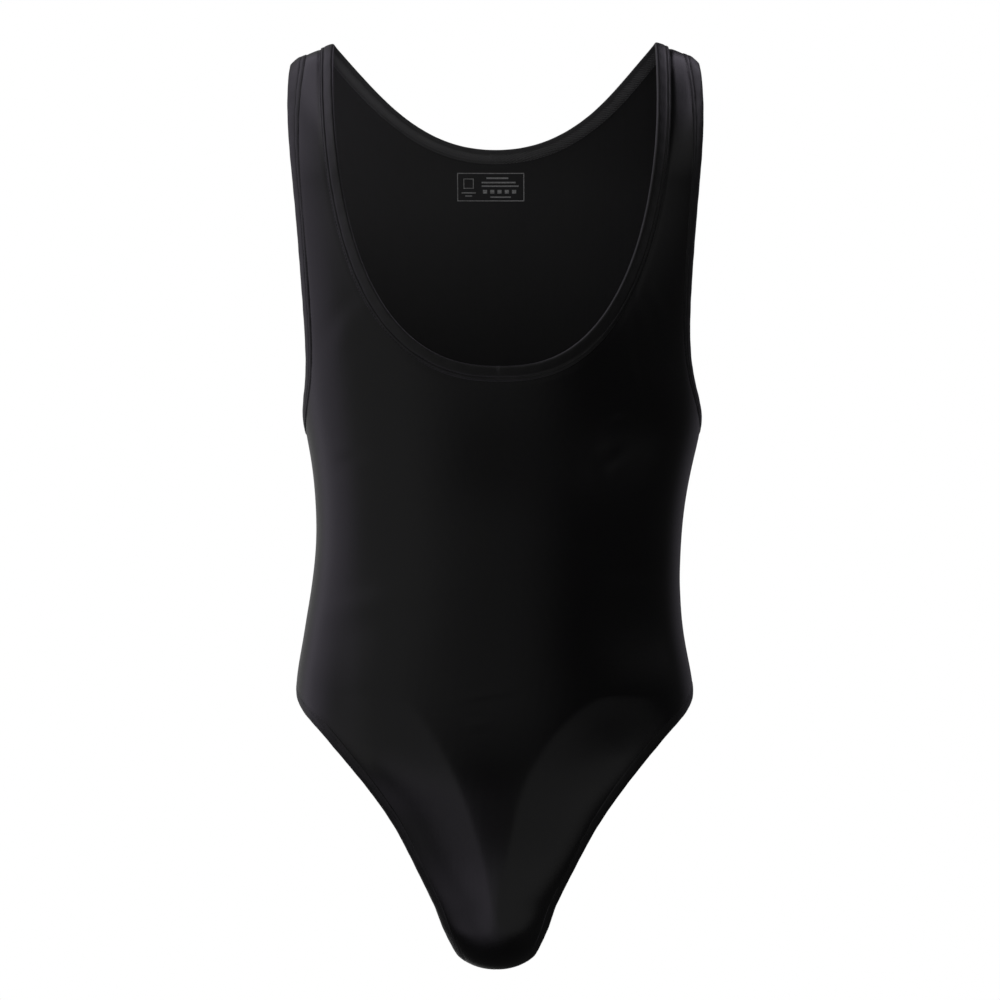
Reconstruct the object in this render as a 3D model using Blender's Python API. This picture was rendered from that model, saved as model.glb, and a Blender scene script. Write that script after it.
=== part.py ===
"""A sleeveless fitness leotard of thin stretch knit, filled out as worn, with no wearer.

Lengths are in millimetres until a mesh is made, which is in metres. +Z is up, the front faces -Y and +X is to
the right as the front is seen. The origin lies midway between the straps, at the underside of their tops.

The cloth lies on a smooth form. A place on the form has two coordinates: the angle, 0 on the centre line and a
quarter turn at the side seam, and the path, a length that is 0 at the crotch seam, grows up the front to the
shoulder line and falls below 0 up the back.
"""

from collections import namedtuple

import bpy
import numpy as np

MM = 0.001
QUARTER_TURN = np.pi / 2

# Cloth and seams
PANEL_WALL = 1.5
BINDING_WIDTH = 12.0
BINDING_PROUD = 0.45
SEAM_GAP = 0.3

# The form: level sections from the seat to the top of the shoulder
TorsoRow = namedtuple("TorsoRow", "height half_width front back squareness")
TORSO = (
    TorsoRow(-600.0, 110.0, 97.0, 99.0, 2.45),
    TorsoRow(-575.0, 132.0, 103.0, 102.0, 2.5),
    TorsoRow(-548.0, 151.0, 107.0, 102.0, 2.5),
    TorsoRow(-508.0, 158.3, 109.5, 97.0, 2.5),
    TorsoRow(-470.0, 152.6, 108.5, 88.0, 2.5),
    TorsoRow(-436.0, 148.0, 107.0, 82.5, 2.5),
    TorsoRow(-396.0, 145.7, 106.5, 80.0, 2.5),
    TorsoRow(-356.0, 147.8, 109.0, 84.0, 2.5),
    TorsoRow(-324.0, 152.6, 113.0, 90.0, 2.5),
    TorsoRow(-292.0, 158.6, 117.0, 95.0, 2.5),
    TorsoRow(-250.0, 160.5, 120.0, 100.0, 2.5),
    TorsoRow(-200.0, 163.5, 118.5, 103.0, 2.5),
    TorsoRow(-150.0, 168.0, 110.0, 100.0, 2.5),
    TorsoRow(-105.0, 172.0, 99.0, 93.0, 2.5),
    TorsoRow(-50.0, 176.0, 90.0, 86.0, 2.5),
    TorsoRow(62.0, 179.0, 82.0, 80.0, 2.5),
)

# The form: tilted sections, from the lower front, under the crotch, to the lower back
UnderRow = namedtuple("UnderRow", "middle_y middle_z side_y side_z half_width squareness leg_edge")
UNDER = (
    UnderRow(-86.0, -637.0, 2.0, -631.0, 88.0, 2.4, 70.0),
    UnderRow(-70.0, -672.0, 4.0, -657.0, 70.0, 2.3, 55.0),
    UnderRow(-49.0, -701.0, 7.0, -678.0, 56.0, 2.2, 43.8),
    UnderRow(-26.0, -721.0, 10.0, -691.0, 47.0, 2.1, 36.8),
    UnderRow(-3.0, -731.0, 13.0, -697.0, 42.0, 2.1, 32.5),
    UnderRow(20.0, -731.0, 18.0, -698.0, 38.0, 2.1, 28.0),
    UnderRow(43.0, -722.0, 22.0, -696.0, 36.0, 2.1, 23.5),
    UnderRow(64.0, -704.0, 24.0, -689.0, 37.0, 2.2, 20.0),
    UnderRow(82.0, -676.0, 20.0, -670.0, 48.0, 2.3, 19.0),
    UnderRow(94.0, -640.0, 8.0, -638.0, 78.0, 2.4, 22.0),
)
CROTCH_ROW = 5

# How the form closes over the shoulder
CLOSING_HEIGHT = -105.0
CREST_HEIGHT = 1.5
CREST_MIDDLE = 143.0
CREST_FALL = 0.0013
CREST_SHARPNESS = 0.3
CLOSING_LENGTH = (CREST_HEIGHT - CLOSING_HEIGHT) * QUARTER_TURN

# Finished edges, as half widths seen from the front or the back
NECK_AT_CREST = 128.0
FRONT_NECK_DEPTH = -253.0
FRONT_NECK_SQUARENESS = 2.45
BACK_NECK_DEPTH = -68.0
BACK_NECK_FLAT = 54.0
BACK_NECK_RISE = (85.0, -38.0)
ARMHOLE_AT_CREST = 164.0
ARMPIT_HEIGHT = -292.0
HIP_HEIGHT = -512.0
EdgeRow = namedtuple("EdgeRow", "height half_width")
FRONT_ARMHOLE = (
    EdgeRow(-36.0, 165.5),
    EdgeRow(-84.0, 163.0),
    EdgeRow(-148.0, 157.0),
    EdgeRow(-212.0, 152.3),
    EdgeRow(-244.0, 152.2),
    EdgeRow(-270.0, 155.6),
)
BACK_ARMHOLE = (
    EdgeRow(-36.0, 161.0),
    EdgeRow(-84.0, 156.0),
    EdgeRow(-148.0, 150.0),
    EdgeRow(-212.0, 146.5),
    EdgeRow(-244.0, 149.0),
    EdgeRow(-270.0, 154.3),
)
FRONT_LEG = (
    EdgeRow(-531.0, 145.5),
    EdgeRow(-548.0, 131.0),
    EdgeRow(-575.0, 107.5),
    EdgeRow(-600.0, 89.5),
)
BACK_LEG = (
    EdgeRow(-600.0, 36.0),
    EdgeRow(-575.0, 56.0),
    EdgeRow(-548.0, 90.0),
    EdgeRow(-528.0, 128.0),
)

# How finely the panels are divided, and how their rows and columns run
MIDDLE_COLUMNS = 6
OUTER_COLUMNS = 4
SIDE_ROWS = 13
PanelPlan = namedtuple("PanelPlan", "leg_rows low_armhole_rows strap_rows neck_split")
FRONT_PLAN = PanelPlan(17, 5, 16, 0.33)
BACK_PLAN = PanelPlan(20, 14, 7, 0.62)
NECK_PULL = 3
FINE = 600
NUDGE = 1e-3

# Colours and finishes
KNIT_COLOUR = (0.010, 0.0095, 0.0105, 1.0)
BINDING_COLOUR = (0.013, 0.0125, 0.0135, 1.0)
KNIT_ROUGHNESS = 0.38
BINDING_ROUGHNESS = 0.5


def cubic_through(keys, values):
    """A function through the rows, in cubic pieces that join with equal slopes and equal bends."""
    keys, values = np.asarray(keys, float), np.asarray(values, float)
    step = np.diff(keys)
    rise = np.diff(values, axis=0) / step[:, None]
    system = np.eye(len(keys))
    right = np.zeros_like(values)
    for i in range(1, len(keys) - 1):
        system[i, i - 1 : i + 2] = step[i - 1], 2 * (step[i - 1] + step[i]), step[i]
        right[i] = 6 * (rise[i] - rise[i - 1])
    bend = np.linalg.solve(system, right)

    def at(key):
        i = np.clip(np.searchsorted(keys, key) - 1, 0, len(step) - 1)
        width = step[i][..., None]
        after = (key - keys[i])[..., None]
        before = width - after
        curved = (bend[i] * before**3 + bend[i + 1] * after**3) / (6 * width)
        start = (values[i] / width - bend[i] * width / 6) * before
        end = (values[i + 1] / width - bend[i + 1] * width / 6) * after
        return curved + start + end

    return at


def section_path():
    """The path of each section, and the sections: back rows down from the shoulder, under rows, front rows up."""
    under = [(r.side_y, r.side_z, r.half_width, r.middle_y, r.middle_z, r.squareness) for r in UNDER]
    front = [(0.0, r.height, r.half_width, -r.front, r.height, r.squareness) for r in TORSO]
    back = [(0.0, r.height, r.half_width, r.back, r.height, r.squareness) for r in TORSO]
    sections = np.array(back[::-1] + under[::-1] + front)
    joined = sections[len(TORSO) - 1 : len(TORSO) + len(UNDER) + 1, 3:5]
    lengths = np.concatenate([[0.0], np.cumsum(np.hypot(*np.diff(joined, axis=0).T))])
    lengths -= lengths[len(UNDER) - CROTCH_ROW]
    heights = np.array([r.height for r in TORSO])
    above = heights - heights[0]
    return np.concatenate([lengths[0] - above[::-1], lengths[1:-1], lengths[-1] + above]), sections


PATHS, SECTION_ROWS = section_path()
SECTIONS = cubic_through(PATHS, SECTION_ROWS)
FRONT_START = PATHS[len(TORSO) + len(UNDER)] - TORSO[0].height
BACK_START = -PATHS[len(TORSO) - 1] - TORSO[0].height
TOP = CLOSING_HEIGHT + CLOSING_LENGTH


def path_at(height, side):
    return FRONT_START + height if side == "front" else -(BACK_START + height)


def crest(x):
    """The shoulder line's height, a parabola that falls away from the neck."""
    return CREST_HEIGHT - CREST_FALL * (x**2 - CREST_MIDDLE**2)


def form_point(angle, path):
    """Points on the form: a section is |x/half width|^squareness + |forward/depth|^squareness = 1.

    Above the closing height the depth shrinks as (1 - s) cos t + s cos^3 t, while the height rises as sin t.
    """
    angle, path = np.broadcast_arrays(np.asarray(angle, float), np.asarray(path, float))
    side_y, side_z, half_width, middle_y, middle_z, squareness = np.moveaxis(SECTIONS(path), -1, 0)
    sine, cosine = np.sin(angle), np.cos(angle)
    reach = (np.abs(sine) ** squareness + np.abs(cosine) ** squareness) ** (-1 / squareness)
    turn = np.maximum((side_z - CLOSING_HEIGHT) / CLOSING_LENGTH, 0.0) * QUARTER_TURN
    shrink = (1 - CREST_SHARPNESS) * np.cos(turn) + CREST_SHARPNESS * np.cos(turn) ** 3
    x = half_width * sine * reach
    y = side_y + (middle_y - side_y) * cosine * reach * shrink
    level = side_z + (middle_z - side_z) * cosine * reach
    closing = CLOSING_HEIGHT + (crest(x) - CLOSING_HEIGHT) * np.sin(turn)
    return np.stack([x, y, np.where(side_z > CLOSING_HEIGHT, closing, level)], axis=-1)


def slopes(angle, path):
    """How the point moves with the angle and with the path, as differences over a small step either way."""
    by_angle = (form_point(angle + NUDGE, path) - form_point(angle - NUDGE, path)) / (2 * NUDGE)
    by_path = (form_point(angle, path + NUDGE) - form_point(angle, path - NUDGE)) / (2 * NUDGE)
    return by_angle, by_path


def outward(angle, path):
    """The form's unit normal, pointing away from the wearer."""
    by_angle, by_path = slopes(angle, path)
    normal = np.cross(by_angle, by_path)
    return normal / np.linalg.norm(normal, axis=-1, keepdims=True)


def angle_of(x, path):
    """The angle at which the section at this path is x wide."""
    section = SECTIONS(np.asarray(path, float))
    share = np.clip(x / section[..., 2], 0.0, 1.0)
    squareness = section[..., 5]
    return np.arctan2(share, (1 - share**squareness) ** (1 / squareness))


def place(x, z, side):
    """Angle and path of a point seen at x and z from the front or the back, above the leg openings."""
    x, z = np.asarray(x, float), np.asarray(z, float)
    share = np.clip((z - CLOSING_HEIGHT) / (crest(x) - CLOSING_HEIGHT), 0.0, 1.0)
    closing = CLOSING_HEIGHT + CLOSING_LENGTH * np.arcsin(share) / QUARTER_TURN
    path = path_at(np.where(z > CLOSING_HEIGHT, closing, z), side)
    return np.stack([angle_of(x, path), path], axis=-1)


def shifted(places, inset, pin_start=None, pin_end=None):
    """The places moved across the cloth, to the left of their run as seen from outside, by a length.

    pin_start and pin_end name the coordinate that the first and last place keep: 0 the angle, 1 the path.
    """
    angle, path = places.T
    by_angle, by_path = slopes(angle, path)
    run = np.gradient(form_point(angle, path), axis=0)
    across = np.cross(outward(angle, path), run)
    across *= inset / np.linalg.norm(across, axis=-1, keepdims=True)
    aa, ap, pp = (by_angle**2).sum(-1), (by_angle * by_path).sum(-1), (by_path**2).sum(-1)
    a, p = (across * by_angle).sum(-1), (across * by_path).sum(-1)
    move = np.stack([a * pp - p * ap, p * aa - a * ap], axis=-1) / (aa * pp - ap**2)[:, None]
    for end, pin in ((0, pin_start), (-1, pin_end)):
        if pin is not None:
            move[end, pin] = 0.0
            move[end, 1 - pin] = (a[end] / aa[end], p[end] / pp[end])[1 - pin]
    return places + move


class Edge:
    """A cut edge of a panel, as closely spaced places, with its length in space from its first place."""

    def __init__(self, places, pins=(None, None)):
        self.places = places
        self.pins = pins
        steps = np.linalg.norm(np.diff(form_point(*places.T), axis=0), axis=-1)
        self.length = np.concatenate([[0.0], np.cumsum(steps)])

    def at(self, lengths, inset=0.0):
        places = shifted(self.places, inset, *self.pins) if inset else self.places
        return np.stack([np.interp(lengths, self.length, places[:, i]) for i in (0, 1)], axis=-1)

    def length_at_path(self, path):
        order = np.argsort(self.places[:, 1])
        return float(np.interp(path, self.places[order, 1], self.length[order]))

    def spaced(self, breaks, counts):
        """Lengths in even steps between the breaks, each break once."""
        parts = [np.linspace(a, b, n, endpoint=False) for a, b, n in zip(breaks, breaks[1:], counts)]
        return np.concatenate(parts + [[breaks[-1]]])


def curve_through(rows, mirror_start=None, mirror_end=None):
    """A smooth run of places through a few. An end that is mirrored crosses the line there squarely.

    mirror_start and mirror_end name the coordinate that is mirrored: 0 the angle, 1 the path.
    """
    rows = np.array(rows, float)
    ghosts = 2
    before = rows[ghosts:0:-1].copy()
    after = rows[-2 : -2 - ghosts : -1].copy()
    if mirror_start is not None:
        before[:, mirror_start] = 2 * rows[0, mirror_start] - before[:, mirror_start]
    if mirror_end is not None:
        after[:, mirror_end] = 2 * rows[-1, mirror_end] - after[:, mirror_end]
    every = np.concatenate([before, rows, after])
    radius = 110.0
    steps = np.hypot(np.diff(every[:, 0]) * radius, np.diff(every[:, 1]))
    keys = np.concatenate([[0.0], np.cumsum(np.sqrt(steps))])
    return cubic_through(keys, every)(np.linspace(keys[ghosts], keys[-1 - ghosts], FINE))


def front_neck():
    """From the centre to the shoulder: a quarter of |x/a|^n + |z/d|^n = 1."""
    turn = np.linspace(0.0, QUARTER_TURN, FINE)
    top = crest(NECK_AT_CREST)
    n = FRONT_NECK_SQUARENESS
    reach = (np.sin(turn) ** n + np.cos(turn) ** n) ** (-1 / n)
    x = NECK_AT_CREST * np.sin(turn) * reach
    z = top + (FRONT_NECK_DEPTH - top) * np.cos(turn) * reach
    return place(x, z, "front")


def back_neck():
    """From the centre to the shoulder: a cubic curve with two handles, level at the centre."""
    t = np.linspace(0.0, 1.0, FINE)[:, None]
    top = (NECK_AT_CREST, crest(NECK_AT_CREST))
    corners = np.array([(0.0, BACK_NECK_DEPTH), (BACK_NECK_FLAT, BACK_NECK_DEPTH), BACK_NECK_RISE, top])
    weights = np.hstack([(1 - t) ** 3, 3 * t * (1 - t) ** 2, 3 * t**2 * (1 - t), t**3])
    x, z = (weights @ corners).T
    return place(x, z, "back")


def armhole(rows, side):
    """From the armpit, square to the side seam, to the shoulder, square to the shoulder line."""
    armpit = (QUARTER_TURN, path_at(ARMPIT_HEIGHT, side))
    top = place(ARMHOLE_AT_CREST, crest(ARMHOLE_AT_CREST), side)
    between = [place(r.half_width, r.height, side) for r in rows[::-1]]
    return curve_through([armpit, *between, top], mirror_start=0, mirror_end=1)


def leg():
    """From the hip down the front, under the crotch and up the back to the hip."""
    hips = [(QUARTER_TURN, path_at(HIP_HEIGHT, side)) for side in ("front", "back")]
    front = [place(r.half_width, r.height, "front") for r in FRONT_LEG]
    back = [place(r.half_width, r.height, "back") for r in BACK_LEG]
    paths = PATHS[len(TORSO) : len(TORSO) + len(UNDER)][::-1]
    under = [(angle_of(r.leg_edge, path), path) for r, path in zip(UNDER, paths)]
    return curve_through([hips[0], *front, *under, *back, hips[1]], mirror_start=0, mirror_end=0)


def seam_edge(finished, turned, pins):
    """The panel's cut edge, inside a finished edge by the binding's width and the gap.

    Places that the shift takes past the line where the edge starts or ends are dropped.
    """
    moved = shifted(finished, turned * (BINDING_WIDTH + SEAM_GAP), *pins)
    middle = moved[len(moved) // 2]
    keep = np.ones(len(moved), bool)
    for end, pin in zip((0, -1), pins):
        inward = np.sign(middle[pin] - moved[end, pin])
        keep &= inward * (moved[:, pin] - moved[end, pin]) > 0
    keep[[0, -1]] = True
    return Edge(moved[keep], pins)


NECK = {
    "front": seam_edge(front_neck(), -1, (0, 1)),
    "back": seam_edge(back_neck(), 1, (0, 1)),
}
ARMHOLE = {
    "front": seam_edge(armhole(FRONT_ARMHOLE, "front"), 1, (0, 1)),
    "back": seam_edge(armhole(BACK_ARMHOLE, "back"), -1, (0, 1)),
}
LEG = seam_edge(leg(), -1, (0, 0))


def run_between(start, end, count):
    """Places in even steps on a straight run between two places, both ends included."""
    share = np.linspace(0.0, 1.0, count + 1)[:, None]
    return (1 - share) * np.asarray(start, float) + share * np.asarray(end, float)


def filled(low, high, left, right):
    """A grid between four sides: the sides' two blends added, less the corners' blend."""
    up = np.linspace(0.0, 1.0, len(left))[:, None, None]
    over = np.linspace(0.0, 1.0, len(low))[None, :, None]
    sides = (1 - over) * left[:, None] + over * right[:, None]
    ends = (1 - up) * low[None] + up * high[None]
    corners = (1 - up) * ((1 - over) * low[0] + over * low[-1]) + up * ((1 - over) * high[0] + over * high[-1])
    return sides + ends - corners


def gap_at(places, coordinate):
    """How far along one coordinate half a seam's gap reaches."""
    slope = slopes(*places.T)[coordinate]
    return SEAM_GAP / 2 / np.linalg.norm(slope, axis=-1)


def leg_ends(side):
    """Lengths along the leg's cut edge at the hip and at the crotch seam, on the front or on the back."""
    crotch = LEG.length_at_path(0.0)
    return (0.0, crotch) if side == "front" else (LEG.length[-1], crotch)


def edge_lengths(side, plan):
    """Where the panel's rows and columns meet its leg, armhole and neck edges, as lengths along them."""
    neck, armhole_edge = NECK[side], ARMHOLE[side]
    split = plan.neck_split * neck.length[-1]
    hip, crotch = leg_ends(side)
    bend = armhole_edge.length[-1] * plan.low_armhole_rows / (plan.low_armhole_rows + plan.strap_rows)
    return {
        "leg": np.linspace(crotch, hip, plan.leg_rows + 1),
        "armhole": armhole_edge.spaced(
            (0.0, bend, armhole_edge.length[-1]), (plan.low_armhole_rows, plan.strap_rows)
        ),
        "neck": neck.spaced((0.0, split, neck.length[-1]), (MIDDLE_COLUMNS, plan.strap_rows)),
    }


def half_panel(side, plan):
    """Grids of places for the right half: the body below the neck's bend, and the strap above it.

    The body's rows run level from the centre line to the leg, side seam and armhole. Its middle columns end on
    the neck, and its outer ones carry on up the strap.
    """
    lengths = edge_lengths(side, plan)
    leg_edge = LEG.at(lengths["leg"])
    armhole_edge = ARMHOLE[side].at(lengths["armhole"])
    neck = NECK[side].at(lengths["neck"])
    side_seam = run_between(leg_edge[-1], armhole_edge[0], SIDE_ROWS)
    side_seam[:, 0] -= gap_at(side_seam, 0)
    leg_edge[-1, 0] = side_seam[0, 0]
    armhole_edge[0, 0] = side_seam[-1, 0]
    turned = 1 if side == "front" else -1
    leg_edge[0, 1] = turned * gap_at(leg_edge[:1], 1)[0]
    for edge in (armhole_edge, neck):
        edge[-1, 1] = path_at(TOP, side) - turned * gap_at(edge[-1:] - (0.0, turned), 1)[0]
    outer = np.concatenate([leg_edge, side_seam[1:], armhole_edge[1:]])
    bend_row = len(outer) - 1 - plan.strap_rows
    columns = MIDDLE_COLUMNS + OUTER_COLUMNS
    crotch_seam = run_between((0.0, leg_edge[0, 1]), leg_edge[0], columns)
    body_outer = outer[: bend_row + 1]
    armpit_row = plan.leg_rows + SIDE_ROWS
    centre = np.stack([np.zeros(bend_row + 1), body_outer[:, 1]], axis=-1)
    centre[armpit_row:] = run_between(centre[armpit_row], neck[0], plan.low_armhole_rows)
    row = np.arange(bend_row + 1)
    turn_in = (row / bend_row) ** NECK_PULL
    turn_up = np.clip((row - armpit_row) / plan.low_armhole_rows, 0.0, 1.0)
    share = MIDDLE_COLUMNS / columns
    inner = (1 - share) * centre + share * body_outer
    inner += np.stack([turn_in, turn_up], axis=-1) * (neck[MIDDLE_COLUMNS] - inner[-1])
    across = run_between(neck[MIDDLE_COLUMNS], outer[bend_row], OUTER_COLUMNS)
    shoulder = run_between(neck[-1], armhole_edge[-1], OUTER_COLUMNS)
    middle = filled(crotch_seam[: MIDDLE_COLUMNS + 1], neck[: MIDDLE_COLUMNS + 1], centre, inner)
    edge = filled(crotch_seam[MIDDLE_COLUMNS:], across, inner, body_outer)
    strap = filled(across, shoulder, neck[MIDDLE_COLUMNS:], outer[bend_row:])
    return np.concatenate([middle, edge[:, 1:]], axis=1), strap


def quads_of(index):
    """Four corners for each cell of a grid of point numbers."""
    cells = [index[:-1, :-1], index[:-1, 1:], index[1:, 1:], index[1:, :-1]]
    return np.stack(cells, axis=-1).reshape(-1, 4)


def mirrored(points):
    return points * (-1.0, 1.0, 1.0)


def whole_panel(body, strap):
    """Points, normals and cells of a panel from the places of its right half."""
    rows, columns = body.shape[:2]
    tiers, strap_columns = strap.shape[:2]
    halves = [(form_point(*np.moveaxis(g, -1, 0)), outward(*np.moveaxis(g, -1, 0))) for g in (body, strap[1:])]
    points, normals = [], []
    for pick, gathered in ((0, points), (1, normals)):
        body_part, strap_part = halves[0][pick], halves[1][pick]
        full = np.concatenate([mirrored(body_part[:, :0:-1]), body_part], axis=1)
        gathered += [full.reshape(-1, 3), strap_part.reshape(-1, 3), mirrored(strap_part).reshape(-1, 3)]
    across = 2 * columns - 1
    body_index = np.arange(rows * across).reshape(rows, across)
    strap_index = rows * across + np.arange((tiers - 1) * strap_columns).reshape(tiers - 1, strap_columns)
    right = np.vstack([body_index[-1:, across - strap_columns :], strap_index])
    left = np.vstack([body_index[-1:, strap_columns - 1 :: -1], strap_index + strap_index.size])
    quads = np.concatenate([quads_of(body_index), quads_of(right), quads_of(left)[:, ::-1]])
    return np.concatenate(points), np.concatenate(normals), quads


def thickened(points, normals, quads, above, below):
    """A closed wall: the cells moved out and in along the normals, and a rim round every open edge."""
    ends = np.concatenate([quads[:, [i, (i + 1) % 4]] for i in range(4)])
    _, first, count = np.unique(np.sort(ends, axis=1), axis=0, return_index=True, return_counts=True)
    rim = ends[first[count == 1]]
    inner = len(points)
    sides = np.stack([rim[:, 1], rim[:, 0], rim[:, 0] + inner, rim[:, 1] + inner], axis=-1)
    faces = np.concatenate([quads, quads[:, ::-1] + inner, sides])
    return np.concatenate([points + above * normals, points - below * normals]), faces


def material(name, colour, roughness):
    made = bpy.data.materials.new(name)
    made.use_nodes = True
    shader = made.node_tree.nodes["Principled BSDF"]
    shader.inputs["Base Color"].default_value = colour
    shader.inputs["Roughness"].default_value = roughness
    shader.inputs["Metallic"].default_value = 0.0
    made.diffuse_color = colour
    return made


def add_object(name, points, faces, finish):
    """A mesh object whose faces point away from its wall's inside."""
    corners = points[faces]
    volume = np.einsum("ij,ij->", corners[:, 0], np.cross(corners[:, 1], corners[:, 2]))
    volume += np.einsum("ij,ij->", corners[:, 0], np.cross(corners[:, 2], corners[:, 3]))
    faces = faces if volume > 0 else faces[:, ::-1]
    mesh = bpy.data.meshes.new(name)
    mesh.from_pydata((points * MM).tolist(), [], faces.tolist())
    mesh.shade_smooth()
    mesh.set_sharp_from_angle(angle=np.radians(40.0))
    mesh.materials.append(finish)
    made = bpy.data.objects.new(name, mesh)
    bpy.context.scene.collection.objects.link(made)
    return made


def panel(name, side, plan, finish):
    points, normals, quads = whole_panel(*half_panel(side, plan))
    add_object(name, *thickened(points, normals, quads, 0.0, PANEL_WALL), finish)


def band(edge, lengths, turned):
    """Points and normals across a binding, from its seam side to its finished edge, along the given lengths."""
    reaches = (SEAM_GAP, SEAM_GAP + BINDING_WIDTH / 2, SEAM_GAP + BINDING_WIDTH)
    grids = [edge.at(lengths, -turned * reach) for reach in reaches]
    places = np.stack(grids, axis=1)
    angle, path = np.moveaxis(places, -1, 0)
    return form_point(angle, path), outward(angle, path)


def binding(name, points, normals, finish):
    """A closed ring of cells, the last joined to the first."""
    index = np.arange(points.shape[0] * points.shape[1]).reshape(points.shape[:2])
    quads = quads_of(np.vstack([index, index[:1]]))
    flat = points.reshape(-1, 3), normals.reshape(-1, 3)
    wall = thickened(*flat, quads, BINDING_PROUD, PANEL_WALL + BINDING_PROUD)
    add_object(name, *wall, finish)


def neck_ring():
    """Right front, right back, left back and left front, as one loop that meets at the front's centre."""
    front = band(NECK["front"], edge_lengths("front", FRONT_PLAN)["neck"], -1)
    back = band(NECK["back"], edge_lengths("back", BACK_PLAN)["neck"], 1)
    loops = []
    for right_front, right_back in zip(front, back):
        right = np.concatenate([right_front, right_back[-2::-1]])
        loops.append(np.concatenate([right, mirrored(right[-2:0:-1])]))
    return loops


def armhole_ring():
    front = band(ARMHOLE["front"], edge_lengths("front", FRONT_PLAN)["armhole"], 1)
    back = band(ARMHOLE["back"], edge_lengths("back", BACK_PLAN)["armhole"], -1)
    return [np.concatenate([f, b[-2:0:-1]]) for f, b in zip(front, back)]


def leg_ring():
    front = edge_lengths("front", FRONT_PLAN)["leg"]
    back = edge_lengths("back", BACK_PLAN)["leg"]
    lengths = np.concatenate([front[::-1], back[1:-1]])
    return band(LEG, lengths, -1)


def main():
    for thing in list(bpy.data.objects):
        bpy.data.objects.remove(thing)
    knit = material("black_knit", KNIT_COLOUR, KNIT_ROUGHNESS)
    edging = material("black_binding", BINDING_COLOUR, BINDING_ROUGHNESS)
    panel("front_panel", "front", FRONT_PLAN, knit)
    panel("back_panel", "back", BACK_PLAN, knit)
    binding("neck_binding", *neck_ring(), edging)
    for name, ring in (("armhole_binding", armhole_ring()), ("leg_binding", leg_ring())):
        points, normals = ring
        binding(f"{name}_right", points, normals, edging)
        binding(f"{name}_left", mirrored(points), mirrored(normals), edging)


main()
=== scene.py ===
"""A sleeveless fitness leotard of glossy black stretch knit, filled out as worn, with no wearer.

Shapes are worked out in millimetres and become metres as each mesh is made. The cloth lies on the smooth form
of its solids. A place on the form has two coordinates, an angle and a path. The angle is 0 on the front's or
back's centre line, positive to the picture's right and a quarter turn at the side seam. The path is a length
that is 0 at the crotch seam, grows up the front to the shoulder line and falls below 0 up the back.
"""

from collections import namedtuple

import bpy
import numpy as np
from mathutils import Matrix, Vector


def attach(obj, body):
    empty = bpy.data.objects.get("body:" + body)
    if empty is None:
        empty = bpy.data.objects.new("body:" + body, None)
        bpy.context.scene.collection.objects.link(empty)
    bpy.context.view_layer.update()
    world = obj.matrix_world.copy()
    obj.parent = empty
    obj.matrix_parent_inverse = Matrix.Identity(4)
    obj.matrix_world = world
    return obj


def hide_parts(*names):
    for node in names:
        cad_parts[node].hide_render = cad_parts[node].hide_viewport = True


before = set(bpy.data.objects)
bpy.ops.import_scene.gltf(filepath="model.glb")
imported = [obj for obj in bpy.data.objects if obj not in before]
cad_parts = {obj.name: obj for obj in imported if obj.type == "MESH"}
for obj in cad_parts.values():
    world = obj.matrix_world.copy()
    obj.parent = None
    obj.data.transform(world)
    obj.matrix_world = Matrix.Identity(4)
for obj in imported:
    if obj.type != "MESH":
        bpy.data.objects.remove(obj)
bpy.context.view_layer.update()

MM = 0.001
QUARTER_TURN = np.pi / 2
FLIP = np.array([-1.0, 1.0])

# Cloth and seams
CLOTH = 1.1
BINDING_WIDTH = 12.0
TUCK = 1.2

# The form: level sections from the seat to the top of the shoulder
TorsoRow = namedtuple("TorsoRow", "height half_width front back squareness")
TORSO = (
    TorsoRow(-600.0, 110.0, 97.0, 99.0, 2.45),
    TorsoRow(-575.0, 132.0, 103.0, 102.0, 2.5),
    TorsoRow(-548.0, 151.0, 107.0, 102.0, 2.5),
    TorsoRow(-508.0, 158.3, 109.5, 97.0, 2.5),
    TorsoRow(-470.0, 152.6, 108.5, 88.0, 2.5),
    TorsoRow(-436.0, 148.0, 107.0, 82.5, 2.5),
    TorsoRow(-396.0, 145.7, 106.5, 80.0, 2.5),
    TorsoRow(-356.0, 147.8, 109.0, 84.0, 2.5),
    TorsoRow(-324.0, 152.6, 113.0, 90.0, 2.5),
    TorsoRow(-292.0, 158.6, 117.0, 95.0, 2.5),
    TorsoRow(-250.0, 160.5, 120.0, 100.0, 2.5),
    TorsoRow(-200.0, 163.5, 118.5, 103.0, 2.5),
    TorsoRow(-150.0, 168.0, 110.0, 100.0, 2.5),
    TorsoRow(-105.0, 172.0, 99.0, 93.0, 2.5),
    TorsoRow(-50.0, 176.0, 90.0, 86.0, 2.5),
    TorsoRow(62.0, 179.0, 82.0, 80.0, 2.5),
)

# The form: tilted sections, from the lower front, under the crotch, to the lower back
UnderRow = namedtuple("UnderRow", "middle_y middle_z side_y side_z half_width squareness leg_edge")
UNDER = (
    UnderRow(-86.0, -637.0, 2.0, -631.0, 88.0, 2.4, 70.0),
    UnderRow(-70.0, -672.0, 4.0, -657.0, 70.0, 2.3, 55.0),
    UnderRow(-49.0, -701.0, 7.0, -678.0, 56.0, 2.2, 43.8),
    UnderRow(-26.0, -721.0, 10.0, -691.0, 47.0, 2.1, 36.8),
    UnderRow(-3.0, -731.0, 13.0, -697.0, 42.0, 2.1, 32.5),
    UnderRow(20.0, -731.0, 18.0, -698.0, 38.0, 2.1, 28.0),
    UnderRow(43.0, -722.0, 22.0, -696.0, 36.0, 2.1, 23.5),
    UnderRow(64.0, -704.0, 24.0, -689.0, 37.0, 2.2, 20.0),
    UnderRow(82.0, -676.0, 20.0, -670.0, 48.0, 2.3, 19.0),
    UnderRow(94.0, -640.0, 8.0, -638.0, 78.0, 2.4, 22.0),
)
CROTCH_ROW = 5

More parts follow.
